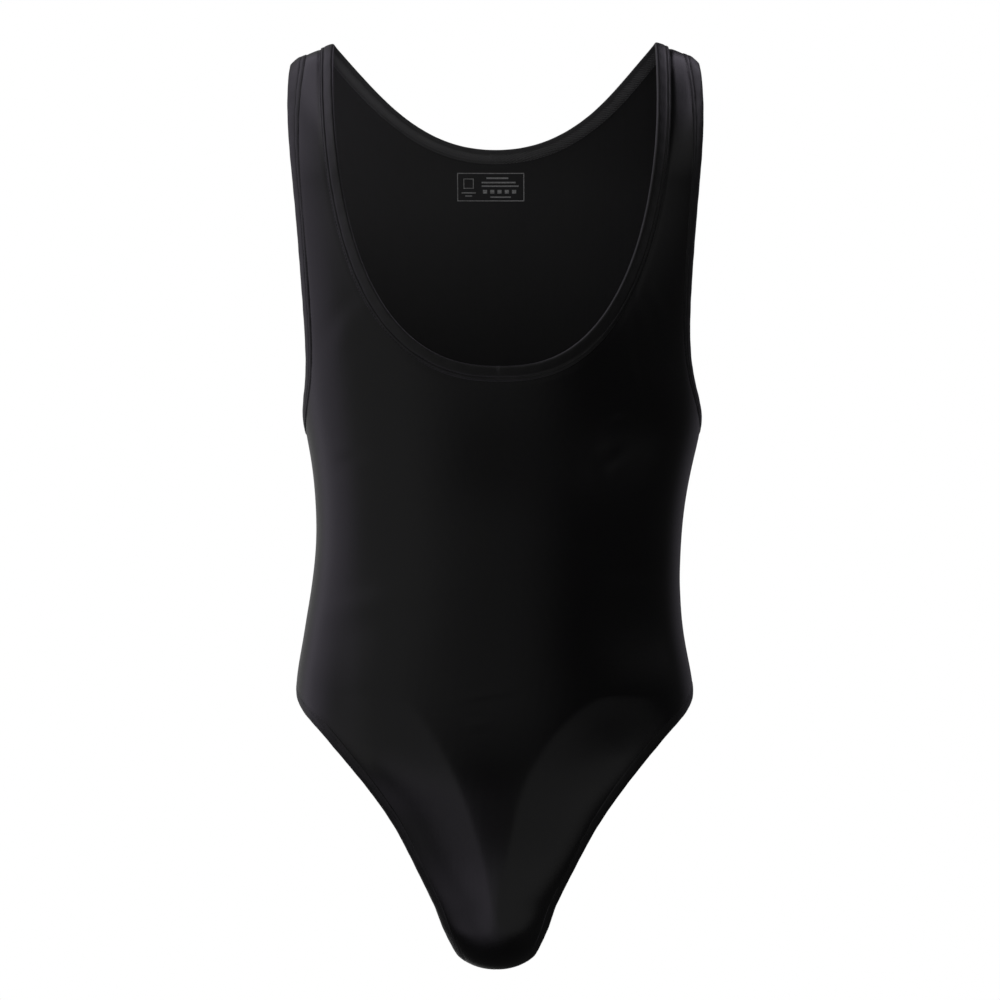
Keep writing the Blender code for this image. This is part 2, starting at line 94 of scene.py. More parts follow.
# How the form closes over the shoulder
CLOSING_HEIGHT = -105.0
CREST_HEIGHT = 1.5
CREST_MIDDLE = 143.0
CREST_FALL = 0.0013
CREST_SHARPNESS = 0.3
CLOSING_LENGTH = (CREST_HEIGHT - CLOSING_HEIGHT) * QUARTER_TURN

# Finished edges, as half widths seen from the front or the back
NECK_AT_CREST = 128.0
FRONT_NECK_DEPTH = -253.0
FRONT_NECK_SQUARENESS = 2.45
BACK_NECK_DEPTH = -68.0
BACK_NECK_FLAT = 54.0
BACK_NECK_RISE = (85.0, -38.0)
ARMHOLE_AT_CREST = 164.0
ARMPIT_HEIGHT = -292.0
HIP_HEIGHT = -512.0
EdgeRow = namedtuple("EdgeRow", "height half_width")
FRONT_ARMHOLE = (
    EdgeRow(-36.0, 165.5),
    EdgeRow(-84.0, 163.0),
    EdgeRow(-148.0, 157.0),
    EdgeRow(-212.0, 152.3),
    EdgeRow(-244.0, 152.2),
    EdgeRow(-270.0, 155.6),
)
BACK_ARMHOLE = (
    EdgeRow(-36.0, 161.0),
    EdgeRow(-84.0, 156.0),
    EdgeRow(-148.0, 150.0),
    EdgeRow(-212.0, 146.5),
    EdgeRow(-244.0, 149.0),
    EdgeRow(-270.0, 154.3),
)
FRONT_LEG = (
    EdgeRow(-531.0, 145.5),
    EdgeRow(-548.0, 131.0),
    EdgeRow(-575.0, 107.5),
    EdgeRow(-600.0, 89.5),
)
BACK_LEG = (
    EdgeRow(-600.0, 36.0),
    EdgeRow(-575.0, 56.0),
    EdgeRow(-548.0, 90.0),
    EdgeRow(-528.0, 128.0),
)

# How the worn garment leans: a shift to the picture's right at each height, and a lift at the straps' tops
SwayRow = namedtuple("SwayRow", "height shift")
SWAY = (
    SwayRow(-731.0, -0.4),
    SwayRow(-676.0, -1.2),
    SwayRow(-612.0, -0.8),
    SwayRow(-548.0, -1.2),
    SwayRow(-508.0, -1.8),
    SwayRow(-452.0, -2.0),
    SwayRow(-420.0, -0.4),
    SwayRow(-388.0, 1.6),
    SwayRow(-356.0, 2.8),
    SwayRow(-324.0, 4.0),
    SwayRow(-296.0, 4.4),
    SwayRow(-276.0, 3.4),
    SwayRow(-244.0, 1.2),
    SwayRow(-212.0, 0.0),
    SwayRow(-148.0, -0.5),
    SwayRow(-84.0, -0.8),
    SwayRow(8.0, -2.0),
)
STRAP_LIFT = 2.2
STRAP_LIFT_UNEVEN = 0.6
STRAP_LIFT_START = -45.0
STRAP_ROUNDING = 3.2
STRAP_ROUNDING_START = 156.0
STRAP_ROUNDING_WIDTH = 10.0
STRAP_ROUNDING_LOW = -24.0
STRAP_ROUNDING_RISE = 20.0

# Folds: ridges above 0 and troughs below, by their middle as seen from the front or the back
Fold = namedtuple("Fold", "side x z length width tilt lift")
FOLD_BOW = 0.12
FOLD_FLANKS = 0.5
FOLDS = (
    Fold("front", -126.0, -215.0, 22.0, 9.0, 52.0, -0.24),
    Fold("front", -118.0, -226.0, 26.0, 11.0, 60.0, 0.26),
    Fold("front", -117.0, -327.0, 16.0, 8.0, 10.0, -0.45),
    Fold("front", 88.0, -288.0, 5.0, 3.6, 32.0, 0.42),
    Fold("front", 77.0, -327.0, 13.0, 3.6, 94.0, -0.5),
    Fold("front", 86.0, -325.0, 9.0, 4.5, 58.0, 0.4),
    Fold("front", 104.0, -262.0, 13.0, 3.8, 93.0, 0.5),
    Fold("front", 103.0, -275.0, 4.0, 3.0, 30.0, 0.35),
    Fold("front", 110.0, -206.0, 17.0, 4.6, 88.0, 0.3),
    Fold("front", 123.0, -203.0, 14.0, 4.4, 96.0, 0.25),
    Fold("front", -6.0, -506.0, 20.0, 3.4, 9.0, 0.2),
    Fold("front", 12.0, -501.0, 10.0, 3.0, 34.0, 0.16),
    Fold("front", -12.0, -529.0, 9.0, 3.2, 5.0, 0.16),
    Fold("front", -96.0, -436.0, 46.0, 12.0, 12.0, 0.35),
    Fold("front", -119.0, -486.0, 62.0, 20.0, 90.0, -1.5),
    Fold("front", 104.0, -410.0, 40.0, 11.0, -10.0, -0.35),
    Fold("back", -60.0, -330.0, 48.0, 11.0, 16.0, -0.9),
    Fold("back", 42.0, -352.0, 56.0, 12.0, -12.0, 0.8),
    Fold("back", -20.0, -392.0, 62.0, 10.0, 5.0, -1.0),
    Fold("back", 30.0, -414.0, 50.0, 9.0, -7.0, 0.9),
    Fold("back", -86.0, -428.0, 32.0, 9.0, 20.0, 0.7),
    Fold("back", 92.0, -386.0, 34.0, 9.0, -24.0, -0.8),
    Fold("back", 104.0, -262.0, 34.0, 8.0, 62.0, -0.9),
    Fold("back", -110.0, -250.0, 30.0, 8.0, -58.0, 0.8),
    Fold("back", -30.0, -560.0, 40.0, 9.0, 38.0, 0.7),
    Fold("back", 36.0, -552.0, 44.0, 9.0, -40.0, -0.7),
)

# The lines where the lower front turns from the belly to the leg openings, from the hips down to the crotch
TurnPoint = namedtuple("TurnPoint", "x z")
LEFT_TURN = (
    TurnPoint(-134.0, -507.0),
    TurnPoint(-112.0, -506.0),
    TurnPoint(-88.0, -507.0),
    TurnPoint(-66.0, -514.0),
    TurnPoint(-43.5, -545.0),
    TurnPoint(-28.0, -580.0),
    TurnPoint(-13.0, -626.0),
    TurnPoint(-5.5, -660.0),
    TurnPoint(-1.5, -700.0),
)
RIGHT_TURN = (
    TurnPoint(134.0, -509.0),
    TurnPoint(110.0, -507.0),
    TurnPoint(88.0, -507.0),
    TurnPoint(70.0, -514.0),
    TurnPoint(52.5, -529.0),
    TurnPoint(34.0, -553.0),
    TurnPoint(19.0, -587.0),
    TurnPoint(12.0, -620.0),
    TurnPoint(5.0, -655.0),
    TurnPoint(0.0, -700.0),
)
TURN_LINE_POINTS = 90
LEFT_DROP = 3.2
RIGHT_DROP = 4.0
TURN_BEND = 2.2
TURN_FALL = 45.0
TURN_RECOVERY = 62.0
TURN_LOW_END = -700.0
TURN_LOW_FADE = 26.0
TURN_SIDE_END = 154.0
TURN_SIDE_FADE = 36.0
# The leg strips follow the turn from this far behind the middle of the body, over this length
LEG_TURN_START = -2.0
LEG_TURN_FADE = 24.0

# How finely the panels are divided
MIDDLE_COLUMNS = 30
OUTER_COLUMNS = 22
SIDE_ROWS = 52
PanelPlan = namedtuple("PanelPlan", "leg_rows low_armhole_rows strap_rows neck_split")
FRONT_PLAN = PanelPlan(72, 26, 70, 0.33)
BACK_PLAN = PanelPlan(80, 56, 36, 0.62)
NECK_PULL = 3
CROWDING = 0.22
FINE = 600
GIRTH_CHORDS = 24
LINE_PARTS = 12
NUDGE = 1e-3
MEAN_RADIUS = 110.0
GHOSTS = 2


def cubic_through(keys, values):
    """A function through the rows, in cubic pieces that join with equal slopes and equal bends."""
    keys, values = np.asarray(keys, float), np.asarray(values, float)
    step = np.diff(keys)
    rise = np.diff(values, axis=0) / step[:, None]
    system = np.eye(len(keys))
    right = np.zeros_like(values)
    for i in range(1, len(keys) - 1):
        system[i, i - 1 : i + 2] = step[i - 1], 2 * (step[i - 1] + step[i]), step[i]
        right[i] = 6 * (rise[i] - rise[i - 1])
    bend = np.linalg.solve(system, right)

    def at(key):
        i = np.clip(np.searchsorted(keys, key) - 1, 0, len(step) - 1)
        width = step[i][..., None]
        after = (key - keys[i])[..., None]
        before = width - after
        curved = (bend[i] * before**3 + bend[i + 1] * after**3) / (6 * width)
        start = (values[i] / width - bend[i] * width / 6) * before
        end = (values[i + 1] / width - bend[i + 1] * width / 6) * after
        return curved + start + end

    return at


def section_path():
    """The path of each section, and the sections.

    The back's rows run from the shoulder down, then the rows under the body, then the front's rows up.
    """
    under = [(r.side_y, r.side_z, r.half_width, r.middle_y, r.middle_z, r.squareness) for r in UNDER]
    front = [(0.0, r.height, r.half_width, -r.front, r.height, r.squareness) for r in TORSO]
    back = [(0.0, r.height, r.half_width, r.back, r.height, r.squareness) for r in TORSO]
    sections = np.array(back[::-1] + under[::-1] + front)
    joined = sections[len(TORSO) - 1 : len(TORSO) + len(UNDER) + 1, 3:5]
    lengths = np.concatenate([[0.0], np.cumsum(np.hypot(*np.diff(joined, axis=0).T))])
    lengths -= lengths[len(UNDER) - CROTCH_ROW]
    heights = np.array([r.height for r in TORSO])
    above = heights - heights[0]
    return np.concatenate([lengths[0] - above[::-1], lengths[1:-1], lengths[-1] + above]), sections


PATHS, SECTION_ROWS = section_path()
SECTIONS = cubic_through(PATHS, SECTION_ROWS)
FRONT_START = PATHS[len(TORSO) + len(UNDER)] - TORSO[0].height
BACK_START = -PATHS[len(TORSO) - 1] - TORSO[0].height
TOP = CLOSING_HEIGHT + CLOSING_LENGTH


def path_at(height, side):
    """The path at a height on the front or the back, above the leg openings."""
    return FRONT_START + height if side == "front" else -(BACK_START + height)


def crest(x):
    """The shoulder line's height, a parabola that falls away from the neck."""
    return CREST_HEIGHT - CREST_FALL * (x**2 - CREST_MIDDLE**2)


def form_point(angle, path):
    """Points on the form: a section is |x/half width|^squareness + |forward/depth|^squareness = 1.

    Above the closing height the depth shrinks as (1 - s) cos t + s cos^3 t, while the height rises as sin t.
    """
    angle, path = np.broadcast_arrays(np.asarray(angle, float), np.asarray(path, float))
    side_y, side_z, half_width, middle_y, middle_z, squareness = np.moveaxis(SECTIONS(path), -1, 0)
    sine, cosine = np.sin(angle), np.cos(angle)
    reach = (np.abs(sine) ** squareness + np.abs(cosine) ** squareness) ** (-1 / squareness)
    turn = np.maximum((side_z - CLOSING_HEIGHT) / CLOSING_LENGTH, 0.0) * QUARTER_TURN
    shrink = (1 - CREST_SHARPNESS) * np.cos(turn) + CREST_SHARPNESS * np.cos(turn) ** 3
    x = half_width * sine * reach
    y = side_y + (middle_y - side_y) * cosine * reach * shrink
    level = side_z + (middle_z - side_z) * cosine * reach
    closing = CLOSING_HEIGHT + (crest(x) - CLOSING_HEIGHT) * np.sin(turn)
    return np.stack([x, y, np.where(side_z > CLOSING_HEIGHT, closing, level)], axis=-1)


def slopes(angle, path):
    """How the point moves with the angle and with the path, as differences over a small step either way."""
    by_angle = (form_point(angle + NUDGE, path) - form_point(angle - NUDGE, path)) / (2 * NUDGE)
    by_path = (form_point(angle, path + NUDGE) - form_point(angle, path - NUDGE)) / (2 * NUDGE)
    return by_angle, by_path


def outward(angle, path):
    """The form's unit normal, pointing away from the wearer."""
    by_angle, by_path = slopes(angle, path)
    normal = np.cross(by_angle, by_path)
    return normal / np.linalg.norm(normal, axis=-1, keepdims=True)


def angle_of(x, path):
    """The angle at which the section at this path is x wide."""
    section = SECTIONS(np.asarray(path, float))
    share = np.clip(x / section[..., 2], 0.0, 1.0)
    squareness = section[..., 5]
    return np.arctan2(share, (1 - share**squareness) ** (1 / squareness))


def place(x, z, side):
    """Angle and path of a point seen at x and z from the front or the back, above the leg openings."""
    x, z = np.asarray(x, float), np.asarray(z, float)
    share = np.clip((z - CLOSING_HEIGHT) / (crest(x) - CLOSING_HEIGHT), 0.0, 1.0)
    closing = CLOSING_HEIGHT + CLOSING_LENGTH * np.arcsin(share) / QUARTER_TURN
    path = path_at(np.where(z > CLOSING_HEIGHT, closing, z), side)
    return np.stack([angle_of(x, path), path], axis=-1)


def shifted(places, inset, pin_start=None, pin_end=None):
    """The places moved across the cloth, to the left of their run as seen from outside, by a length.

    pin_start and pin_end name the coordinate that the first and last place keep: 0 the angle, 1 the path.
    """
    angle, path = places.T
    by_angle, by_path = slopes(angle, path)
    run = np.gradient(form_point(angle, path), axis=0)
    across = np.cross(outward(angle, path), run)
    across *= inset / np.linalg.norm(across, axis=-1, keepdims=True)
    aa, ap, pp = (by_angle**2).sum(-1), (by_angle * by_path).sum(-1), (by_path**2).sum(-1)
    a, p = (across * by_angle).sum(-1), (across * by_path).sum(-1)
    move = np.stack([a * pp - p * ap, p * aa - a * ap], axis=-1) / (aa * pp - ap**2)[:, None]
    for end, pin in ((0, pin_start), (-1, pin_end)):
        if pin is not None:
            move[end, pin] = 0.0
            move[end, 1 - pin] = (a[end] / aa[end], p[end] / pp[end])[1 - pin]
    return places + move


class Edge:
    """A finished edge, as closely spaced places, with its length in space from its first place.

    inward is 1 or -1, the side of its run on which the cloth lies. pins name the coordinates its ends keep.
    """

    def __init__(self, places, inward, pins):
        self.places, self.inward, self.pins = places, inward, pins
        steps = np.linalg.norm(np.diff(form_point(*places.T), axis=0), axis=-1)
        self.length = np.concatenate([[0.0], np.cumsum(steps)])

    def inset(self, reach):
        """The places moved into the cloth, with their lengths, less those past the line where it ends."""
        moved = shifted(self.places, self.inward * reach, *self.pins)
        middle = moved[len(moved) // 2]
        keep = np.ones(len(moved), bool)
        for end, pin in zip((0, -1), self.pins):
            towards = np.sign(middle[pin] - moved[end, pin])
            keep &= towards * (moved[:, pin] - moved[end, pin]) > 0
        keep[[0, -1]] = True
        return self.length[keep], moved[keep]

    def at(self, lengths, reach=0.0):
        """Places at these lengths along the edge, a reach inside it."""
        known, places = self.inset(reach)
        return np.stack([np.interp(lengths, known, places[:, i]) for i in (0, 1)], axis=-1)


def even(breaks, counts):
    """Lengths in even steps between the breaks, each break once."""
    parts = [np.linspace(a, b, n, endpoint=False) for a, b, n in zip(breaks, breaks[1:], counts)]
    return np.concatenate(parts + [[breaks[-1]]])


def curve_through(rows, mirror_start=None, mirror_end=None):
    """A smooth run of places through a few. An end that is mirrored crosses the line there squarely.

    mirror_start and mirror_end name the coordinate that is mirrored: 0 the angle, 1 the path.
    """
    rows = np.array(rows, float)
    before = rows[GHOSTS:0:-1].copy()
    after = rows[-2 : -2 - GHOSTS : -1].copy()
    if mirror_start is not None:
        before[:, mirror_start] = 2 * rows[0, mirror_start] - before[:, mirror_start]
    if mirror_end is not None:
        after[:, mirror_end] = 2 * rows[-1, mirror_end] - after[:, mirror_end]
    every = np.concatenate([before, rows, after])
    steps = np.hypot(np.diff(every[:, 0]) * MEAN_RADIUS, np.diff(every[:, 1]))
    keys = np.concatenate([[0.0], np.cumsum(np.sqrt(steps))])
    return cubic_through(keys, every)(np.linspace(keys[GHOSTS], keys[-1 - GHOSTS], FINE))


def front_neck():
    """From the centre to the shoulder: a quarter of |x/a|^n + |z/d|^n = 1."""
    turn = np.linspace(0.0, QUARTER_TURN, FINE)
    top = crest(NECK_AT_CREST)
    n = FRONT_NECK_SQUARENESS
    reach = (np.sin(turn) ** n + np.cos(turn) ** n) ** (-1 / n)
    x = NECK_AT_CREST * np.sin(turn) * reach
    z = top + (FRONT_NECK_DEPTH - top) * np.cos(turn) * reach
    return place(x, z, "front")


def back_neck():
    """From the centre to the shoulder: a cubic curve with two handles, level at the centre."""
    t = np.linspace(0.0, 1.0, FINE)[:, None]
    top = (NECK_AT_CREST, crest(NECK_AT_CREST))
    corners = np.array([(0.0, BACK_NECK_DEPTH), (BACK_NECK_FLAT, BACK_NECK_DEPTH), BACK_NECK_RISE, top])
    weights = np.hstack([(1 - t) ** 3, 3 * t * (1 - t) ** 2, 3 * t**2 * (1 - t), t**3])
    x, z = (weights @ corners).T
    return place(x, z, "back")


def armhole(rows, side):
    """From the armpit, square to the side seam, to the shoulder, square to the shoulder line."""
    armpit = (QUARTER_TURN, path_at(ARMPIT_HEIGHT, side))
    top = place(ARMHOLE_AT_CREST, crest(ARMHOLE_AT_CREST), side)
    between = [place(r.half_width, r.height, side) for r in rows[::-1]]
    return curve_through([armpit, *between, top], mirror_start=0, mirror_end=1)


def leg():
    """From the hip down the front, under the crotch and up the back to the hip."""
    hips = [(QUARTER_TURN, path_at(HIP_HEIGHT, side)) for side in ("front", "back")]
    front = [place(r.half_width, r.height, "front") for r in FRONT_LEG]
    back = [place(r.half_width, r.height, "back") for r in BACK_LEG]
    paths = PATHS[len(TORSO) : len(TORSO) + len(UNDER)][::-1]
    under = [(angle_of(r.leg_edge, path), path) for r, path in zip(UNDER, paths)]
    return curve_through([hips[0], *front, *under, *back, hips[1]], mirror_start=0, mirror_end=0)


NECK = {"front": Edge(front_neck(), -1, (0, 1)), "back": Edge(back_neck(), 1, (0, 1))}
ARMHOLE = {
    "front": Edge(armhole(FRONT_ARMHOLE, "front"), 1, (0, 1)),
    "back": Edge(armhole(BACK_ARMHOLE, "back"), -1, (0, 1)),
}
LEG = Edge(leg(), -1, (0, 0))


def run_between(start, end, count):
    """Places in even steps on a straight run between two places, both ends included."""
    share = np.linspace(0.0, 1.0, count + 1)[:, None]
    return (1 - share) * np.asarray(start, float) + share * np.asarray(end, float)


def filled(low, high, left, right):
    """A grid between four sides: the sides' two blends added, less the corners' blend."""
    up = np.linspace(0.0, 1.0, len(left))[:, None, None]
    over = np.linspace(0.0, 1.0, len(low))[None, :, None]
    sides = (1 - over) * left[:, None] + over * right[:, None]
    ends = (1 - up) * low[None] + up * high[None]
    low_corners = (1 - over) * low[0] + over * low[-1]
    high_corners = (1 - over) * high[0] + over * high[-1]
    return sides + ends - (1 - up) * low_corners - up * high_corners


def leg_length_at_crotch():
    """The length along the leg opening's edge at which it crosses the crotch seam."""
    order = np.argsort(LEG.places[:, 1])
    return float(np.interp(0.0, LEG.places[order, 1], LEG.length[order]))


def half_panel(side, plan):
    """Grids of places for the right half: the body below the neck's bend, and the strap above it.

    The body's rows run level from the centre line to the leg, side seam and armhole. Its middle columns end
    on the neck, and its outer ones carry on up the strap.
    """
    reach = BINDING_WIDTH - TUCK
    neck_edge, armhole_edge = NECK[side], ARMHOLE[side]
    crotch = leg_length_at_crotch()
    hip = 0.0 if side == "front" else LEG.length[-1]
    split = plan.neck_split * neck_edge.length[-1]
    bend = armhole_edge.length[-1] * plan.low_armhole_rows / (plan.low_armhole_rows + plan.strap_rows)
    leg_side = LEG.at(np.linspace(crotch, hip, plan.leg_rows + 1), reach)
    arm_lengths = even((0.0, bend, armhole_edge.length[-1]), (plan.low_armhole_rows, plan.strap_rows))
    arm_side = armhole_edge.at(arm_lengths, reach)
    neck = neck_edge.at(even((0.0, split, neck_edge.length[-1]), (MIDDLE_COLUMNS, plan.strap_rows)), reach)
    leg_side[0, 1] = 0.0
    side_seam = run_between(leg_side[-1], arm_side[0], SIDE_ROWS)
    outer = np.concatenate([leg_side, side_seam[1:], arm_side[1:]])
    bend_row = len(outer) - 1 - plan.strap_rows
    columns = MIDDLE_COLUMNS + OUTER_COLUMNS
    crotch_seam = run_between((0.0, 0.0), leg_side[0], columns)
    body_outer = outer[: bend_row + 1]
    armpit_row = plan.leg_rows + SIDE_ROWS
    centre = np.stack([np.zeros(bend_row + 1), body_outer[:, 1]], axis=-1)
    centre[armpit_row:] = run_between(centre[armpit_row], neck[0], plan.low_armhole_rows)
    row = np.arange(bend_row + 1)
    turn_in = (row / bend_row) ** NECK_PULL
    turn_up = np.clip((row - armpit_row) / plan.low_armhole_rows, 0.0, 1.0)
    share = MIDDLE_COLUMNS / columns
    inner = (1 - share) * centre + share * body_outer
    inner += np.stack([turn_in, turn_up], axis=-1) * (neck[MIDDLE_COLUMNS] - inner[-1])
    across = run_between(neck[MIDDLE_COLUMNS], outer[bend_row], OUTER_COLUMNS)
    shoulder = run_between(neck[-1], arm_side[-1], OUTER_COLUMNS)
    middle = filled(crotch_seam[: MIDDLE_COLUMNS + 1], neck[: MIDDLE_COLUMNS + 1], centre, inner)
    edge = filled(crotch_seam[MIDDLE_COLUMNS:], across, inner, body_outer)
    strap = filled(across, shoulder, neck[MIDDLE_COLUMNS:], outer[bend_row:])
    return np.concatenate([middle, edge[:, 1:]], axis=1), strap


def crowded(grid, axis, crowding):
    """The grid read again along one axis, at steps that shorten towards the crowded ends.

    crowding is (first, last), 1 for a crowded end and 0 for an even one. The share t of the way becomes
    t - a sin(pi t) cos(pi t / 2) or t + a sin(pi t) sin(pi t / 2) and so on, by the ends that are crowded.
    """
    count = grid.shape[axis]
    t = np.linspace(0.0, 1.0, count)
    first, last = crowding
    bent = last * np.sin(QUARTER_TURN * t) - first * np.cos(QUARTER_TURN * t)
    t = t + CROWDING * np.sin(np.pi * t) * bent
    at = t * (count - 1)
    low = np.clip(at.astype(int), 0, count - 2)
    shape = [1] * grid.ndim
    shape[axis] = count
    part = (at - low).reshape(shape)
    return (1 - part) * np.take(grid, low, axis) + part * np.take(grid, low + 1, axis)


def panel_places(side, plan):
    """Places of a whole panel, the left half's angles negative, and its four-cornered cells."""
    body, strap = half_panel(side, plan)
    split = MIDDLE_COLUMNS
    body = np.concatenate([body[:, :split], crowded(body[:, split:], 1, (1, 1))], axis=1)
    strap = crowded(strap, 1, (1, 1))
    rows, columns = body.shape[:2]
    tiers, strap_columns = strap.shape[:2]
    full = np.concatenate([body[:, :0:-1] * FLIP, body], axis=1)
    upper = strap[1:].reshape(-1, 2)
    places = np.concatenate([full.reshape(-1, 2), upper, upper * FLIP])
    across = 2 * columns - 1
    body_index = np.arange(rows * across).reshape(rows, across)
    strap_index = rows * across + np.arange((tiers - 1) * strap_columns).reshape(tiers - 1, strap_columns)
    right = np.vstack([body_index[-1:, across - strap_columns :], strap_index])
    left = np.vstack([body_index[-1:, strap_columns - 1 :: -1], strap_index + strap_index.size])
    return places, np.concatenate([quads_of(body_index), quads_of(right), quads_of(left)[:, ::-1]])


def quads_of(index):
    """Four corners for each cell of a grid of point numbers."""
    cells = [index[:-1, :-1], index[:-1, 1:], index[1:, 1:], index[1:, :-1]]
    return np.stack(cells, axis=-1).reshape(-1, 4)


SWAY_AT = cubic_through([r.height for r in SWAY], [(r.shift,) for r in SWAY])


def ease(t):
    """0 below 0, 1 above 1 and 3 t^2 - 2 t^3 between."""
    t = np.clip(t, 0.0, 1.0)
    return t * t * (3 - 2 * t)


def worn(points):
    """Points on the even form, in millimetres, moved to where the worn garment leans, in metres."""
    x, y, z = np.moveaxis(points, -1, 0)
    height = np.clip(z, SWAY[0].height, SWAY[-1].height)
    top = ease((z - STRAP_LIFT_START) / -STRAP_LIFT_START)
    lift = top * (STRAP_LIFT + STRAP_LIFT_UNEVEN * np.sign(x))
    outer = ease((np.abs(x) - STRAP_ROUNDING_START) / STRAP_ROUNDING_WIDTH)
    lift -= STRAP_ROUNDING * outer * ease((z - STRAP_ROUNDING_LOW) / STRAP_ROUNDING_RISE)
    return np.stack([x + SWAY_AT(height)[..., 0], y, z + lift], axis=-1) * MM


def creases(points, side):
    """How far the folds move each point outwards.

    Each fold is 2 lift exp(-(a / length)^2) (exp(-(b / width)^2) - exp(-(b / 2 width)^2) / 2), with a along
    and b across it as seen from its side, so that its flanks dip beside its middle. It bows a little.
    """
    x, z = points[:, 0], points[:, 2]
    total = np.zeros(len(points))
    for fold in FOLDS:
        if fold.side != side:
            continue
        turn = np.radians(fold.tilt)
        along = (x - fold.x) * np.cos(turn) + (z - fold.z) * np.sin(turn)
        bow = (along / fold.length) ** 2
        across = (z - fold.z) * np.cos(turn) - (x - fold.x) * np.sin(turn) + FOLD_BOW * fold.width * bow
        flanks = FOLD_FLANKS * np.exp(-((across / fold.width / 2) ** 2))
        ridge = (np.exp(-((across / fold.width) ** 2)) - flanks) / (1 - FOLD_FLANKS)
        total += fold.lift * ridge * np.exp(-bow)
    return total


BROAD_RIPPLE = 0.28
NARROW_RIPPLE = 0.12


def ripples(points):
    """A slow unevenness of the whole cloth: products of sine waves 110 to 450 mm long, each very low."""
    x, y, z = np.moveaxis(points, -1, 0)
    broad = np.sin(x / 31.0 + np.sin(z / 57.0)) * np.sin(z / 38.0 + y / 44.0)
    narrow = np.sin(x / 17.0 - z / 29.0 + 1.3) * np.sin(z / 71.0 + y / 23.0)
    return BROAD_RIPPLE * broad + NARROW_RIPPLE * narrow


def past_line(points, line):
    """How far each point lies past a line as seen from the front, below 0 on the belly's side of it."""
    seen = points[:, None, (0, 2)] - line[None]
    nearest = np.hypot(seen[..., 0], seen[..., 1]).argmin(axis=1)
    gap = seen[np.arange(len(points)), nearest]
    run = np.gradient(line, axis=0)[nearest]
    step = np.linalg.norm(run, axis=1)
    along = (run * gap).sum(axis=1) / step
    across = (run[:, 0] * gap[:, 1] - run[:, 1] * gap[:, 0]) / step
    beyond = along - np.clip(along, -step / 2, step / 2)
    return np.hypot(across, beyond) * np.sign(across)


def turned_down(points):
    """The lower front falls away past each turn line and comes back slowly towards the leg opening.

    With s the way past the line, rounded at 0, and t = s / fall up to 1, the drop is multiplied by
    (2 t - t^2) * exp(-(s / recovery)^2).
    """
    total = np.zeros(len(points))
    above_crotch = ease((points[:, 2] - TURN_LOW_END) / TURN_LOW_FADE)
    off_sides = ease((TURN_SIDE_END - np.abs(points[:, 0])) / TURN_SIDE_FADE)
    for turn_points, outer_side, drop in ((LEFT_TURN, -1, LEFT_DROP), (RIGHT_TURN, 1, RIGHT_DROP)):
        corners = np.array(turn_points)
        keys = np.arange(len(corners), dtype=float)
        line = cubic_through(keys, corners)(np.linspace(0.0, keys[-1], TURN_LINE_POINTS))
        way = outer_side * past_line(points, line)
        past = (way + np.sqrt(way**2 + TURN_BEND**2)) / 2
        part = np.minimum(past / TURN_FALL, 1.0)
        total -= drop * (2 * part - part**2) * np.exp(-((past / TURN_RECOVERY) ** 2))
    return total * (above_crotch * off_sides)


def distance_to(points, line):
    """Each point's distance to the nearest point of a line."""
    nearest = np.full(len(points), np.inf)
    for part in np.array_split(line, LINE_PARTS):
        gaps = np.linalg.norm(points[:, None] - part[None], axis=-1)
        nearest = np.minimum(nearest, gaps.min(axis=1))
    return nearest


def edge_line(edge, reach, sides=(1, -1)):
    """Points along the line a reach inside a finished edge, on the picture's right, left or both."""
    line = form_point(*edge.inset(reach)[1][::2].T)
    return np.concatenate([line * (sign, 1, 1) for sign in sides])


# How deep the cloth dips beside the bindings' seams, and over what width
NECK_DIP = 0.5
ARMHOLE_DIP = 0.12
LEG_DIP = 0.06
STRAP_DIP = 0.5
STRAP_DIP_REACH = BINDING_WIDTH + 0.6
STRAP_DIP_LOW = -200.0
STRAP_DIP_RISE = 90.0
DIP_WIDTH = 2.0
JOIN_DEPTH = 0.75
JOIN_WIDTH = 1.3


def seam_valleys(points, side):
    """The cloth dips beside each binding, deepest where the neck binding stands off the right strap."""
    dip = np.zeros(len(points))
    for edge, depth in ((NECK[side], NECK_DIP), (ARMHOLE[side], ARMHOLE_DIP), (LEG, LEG_DIP)):
        gap = distance_to(points, edge_line(edge, BINDING_WIDTH))
        dip -= depth * np.exp(-((gap / DIP_WIDTH) ** 2))
    if side == "front":
        gap = distance_to(points, edge_line(NECK["front"], STRAP_DIP_REACH, (1,)))
        high = ease((points[:, 2] - STRAP_DIP_LOW) / STRAP_DIP_RISE)
        dip -= STRAP_DIP * high * np.exp(-((gap / DIP_WIDTH) ** 2))
    return dip


def joining_seam(places, points):
    """Where front and back panel meet at the sides, shoulders and crotch, both turn in beside the seam."""
    angle, path = places.T
    side_gap = (QUARTER_TURN - np.abs(angle)) * np.hypot(points[:, 0], points[:, 1])
    below_armpit = points[:, 2] < CLOSING_HEIGHT
    top_gap = np.minimum(np.abs(path - path_at(TOP, "front")), np.abs(path - path_at(TOP, "back")))
    crotch_gap = np.abs(path)
    gap = np.minimum(np.where(below_armpit, side_gap, np.inf), np.minimum(top_gap, crotch_gap))
    return -JOIN_DEPTH * np.exp(-((gap / JOIN_WIDTH) ** 2))


def girth_from_middle(places):
    """The length round the form from the centre line to each place, as a sum of chords."""
    share = np.linspace(0.0, 1.0, GIRTH_CHORDS + 1)
    line = form_point(places[:, :1] * share, np.repeat(places[:, 1:], len(share), axis=1))
    return np.sign(places[:, 0]) * np.linalg.norm(np.diff(line, axis=1), axis=-1).sum(axis=1)


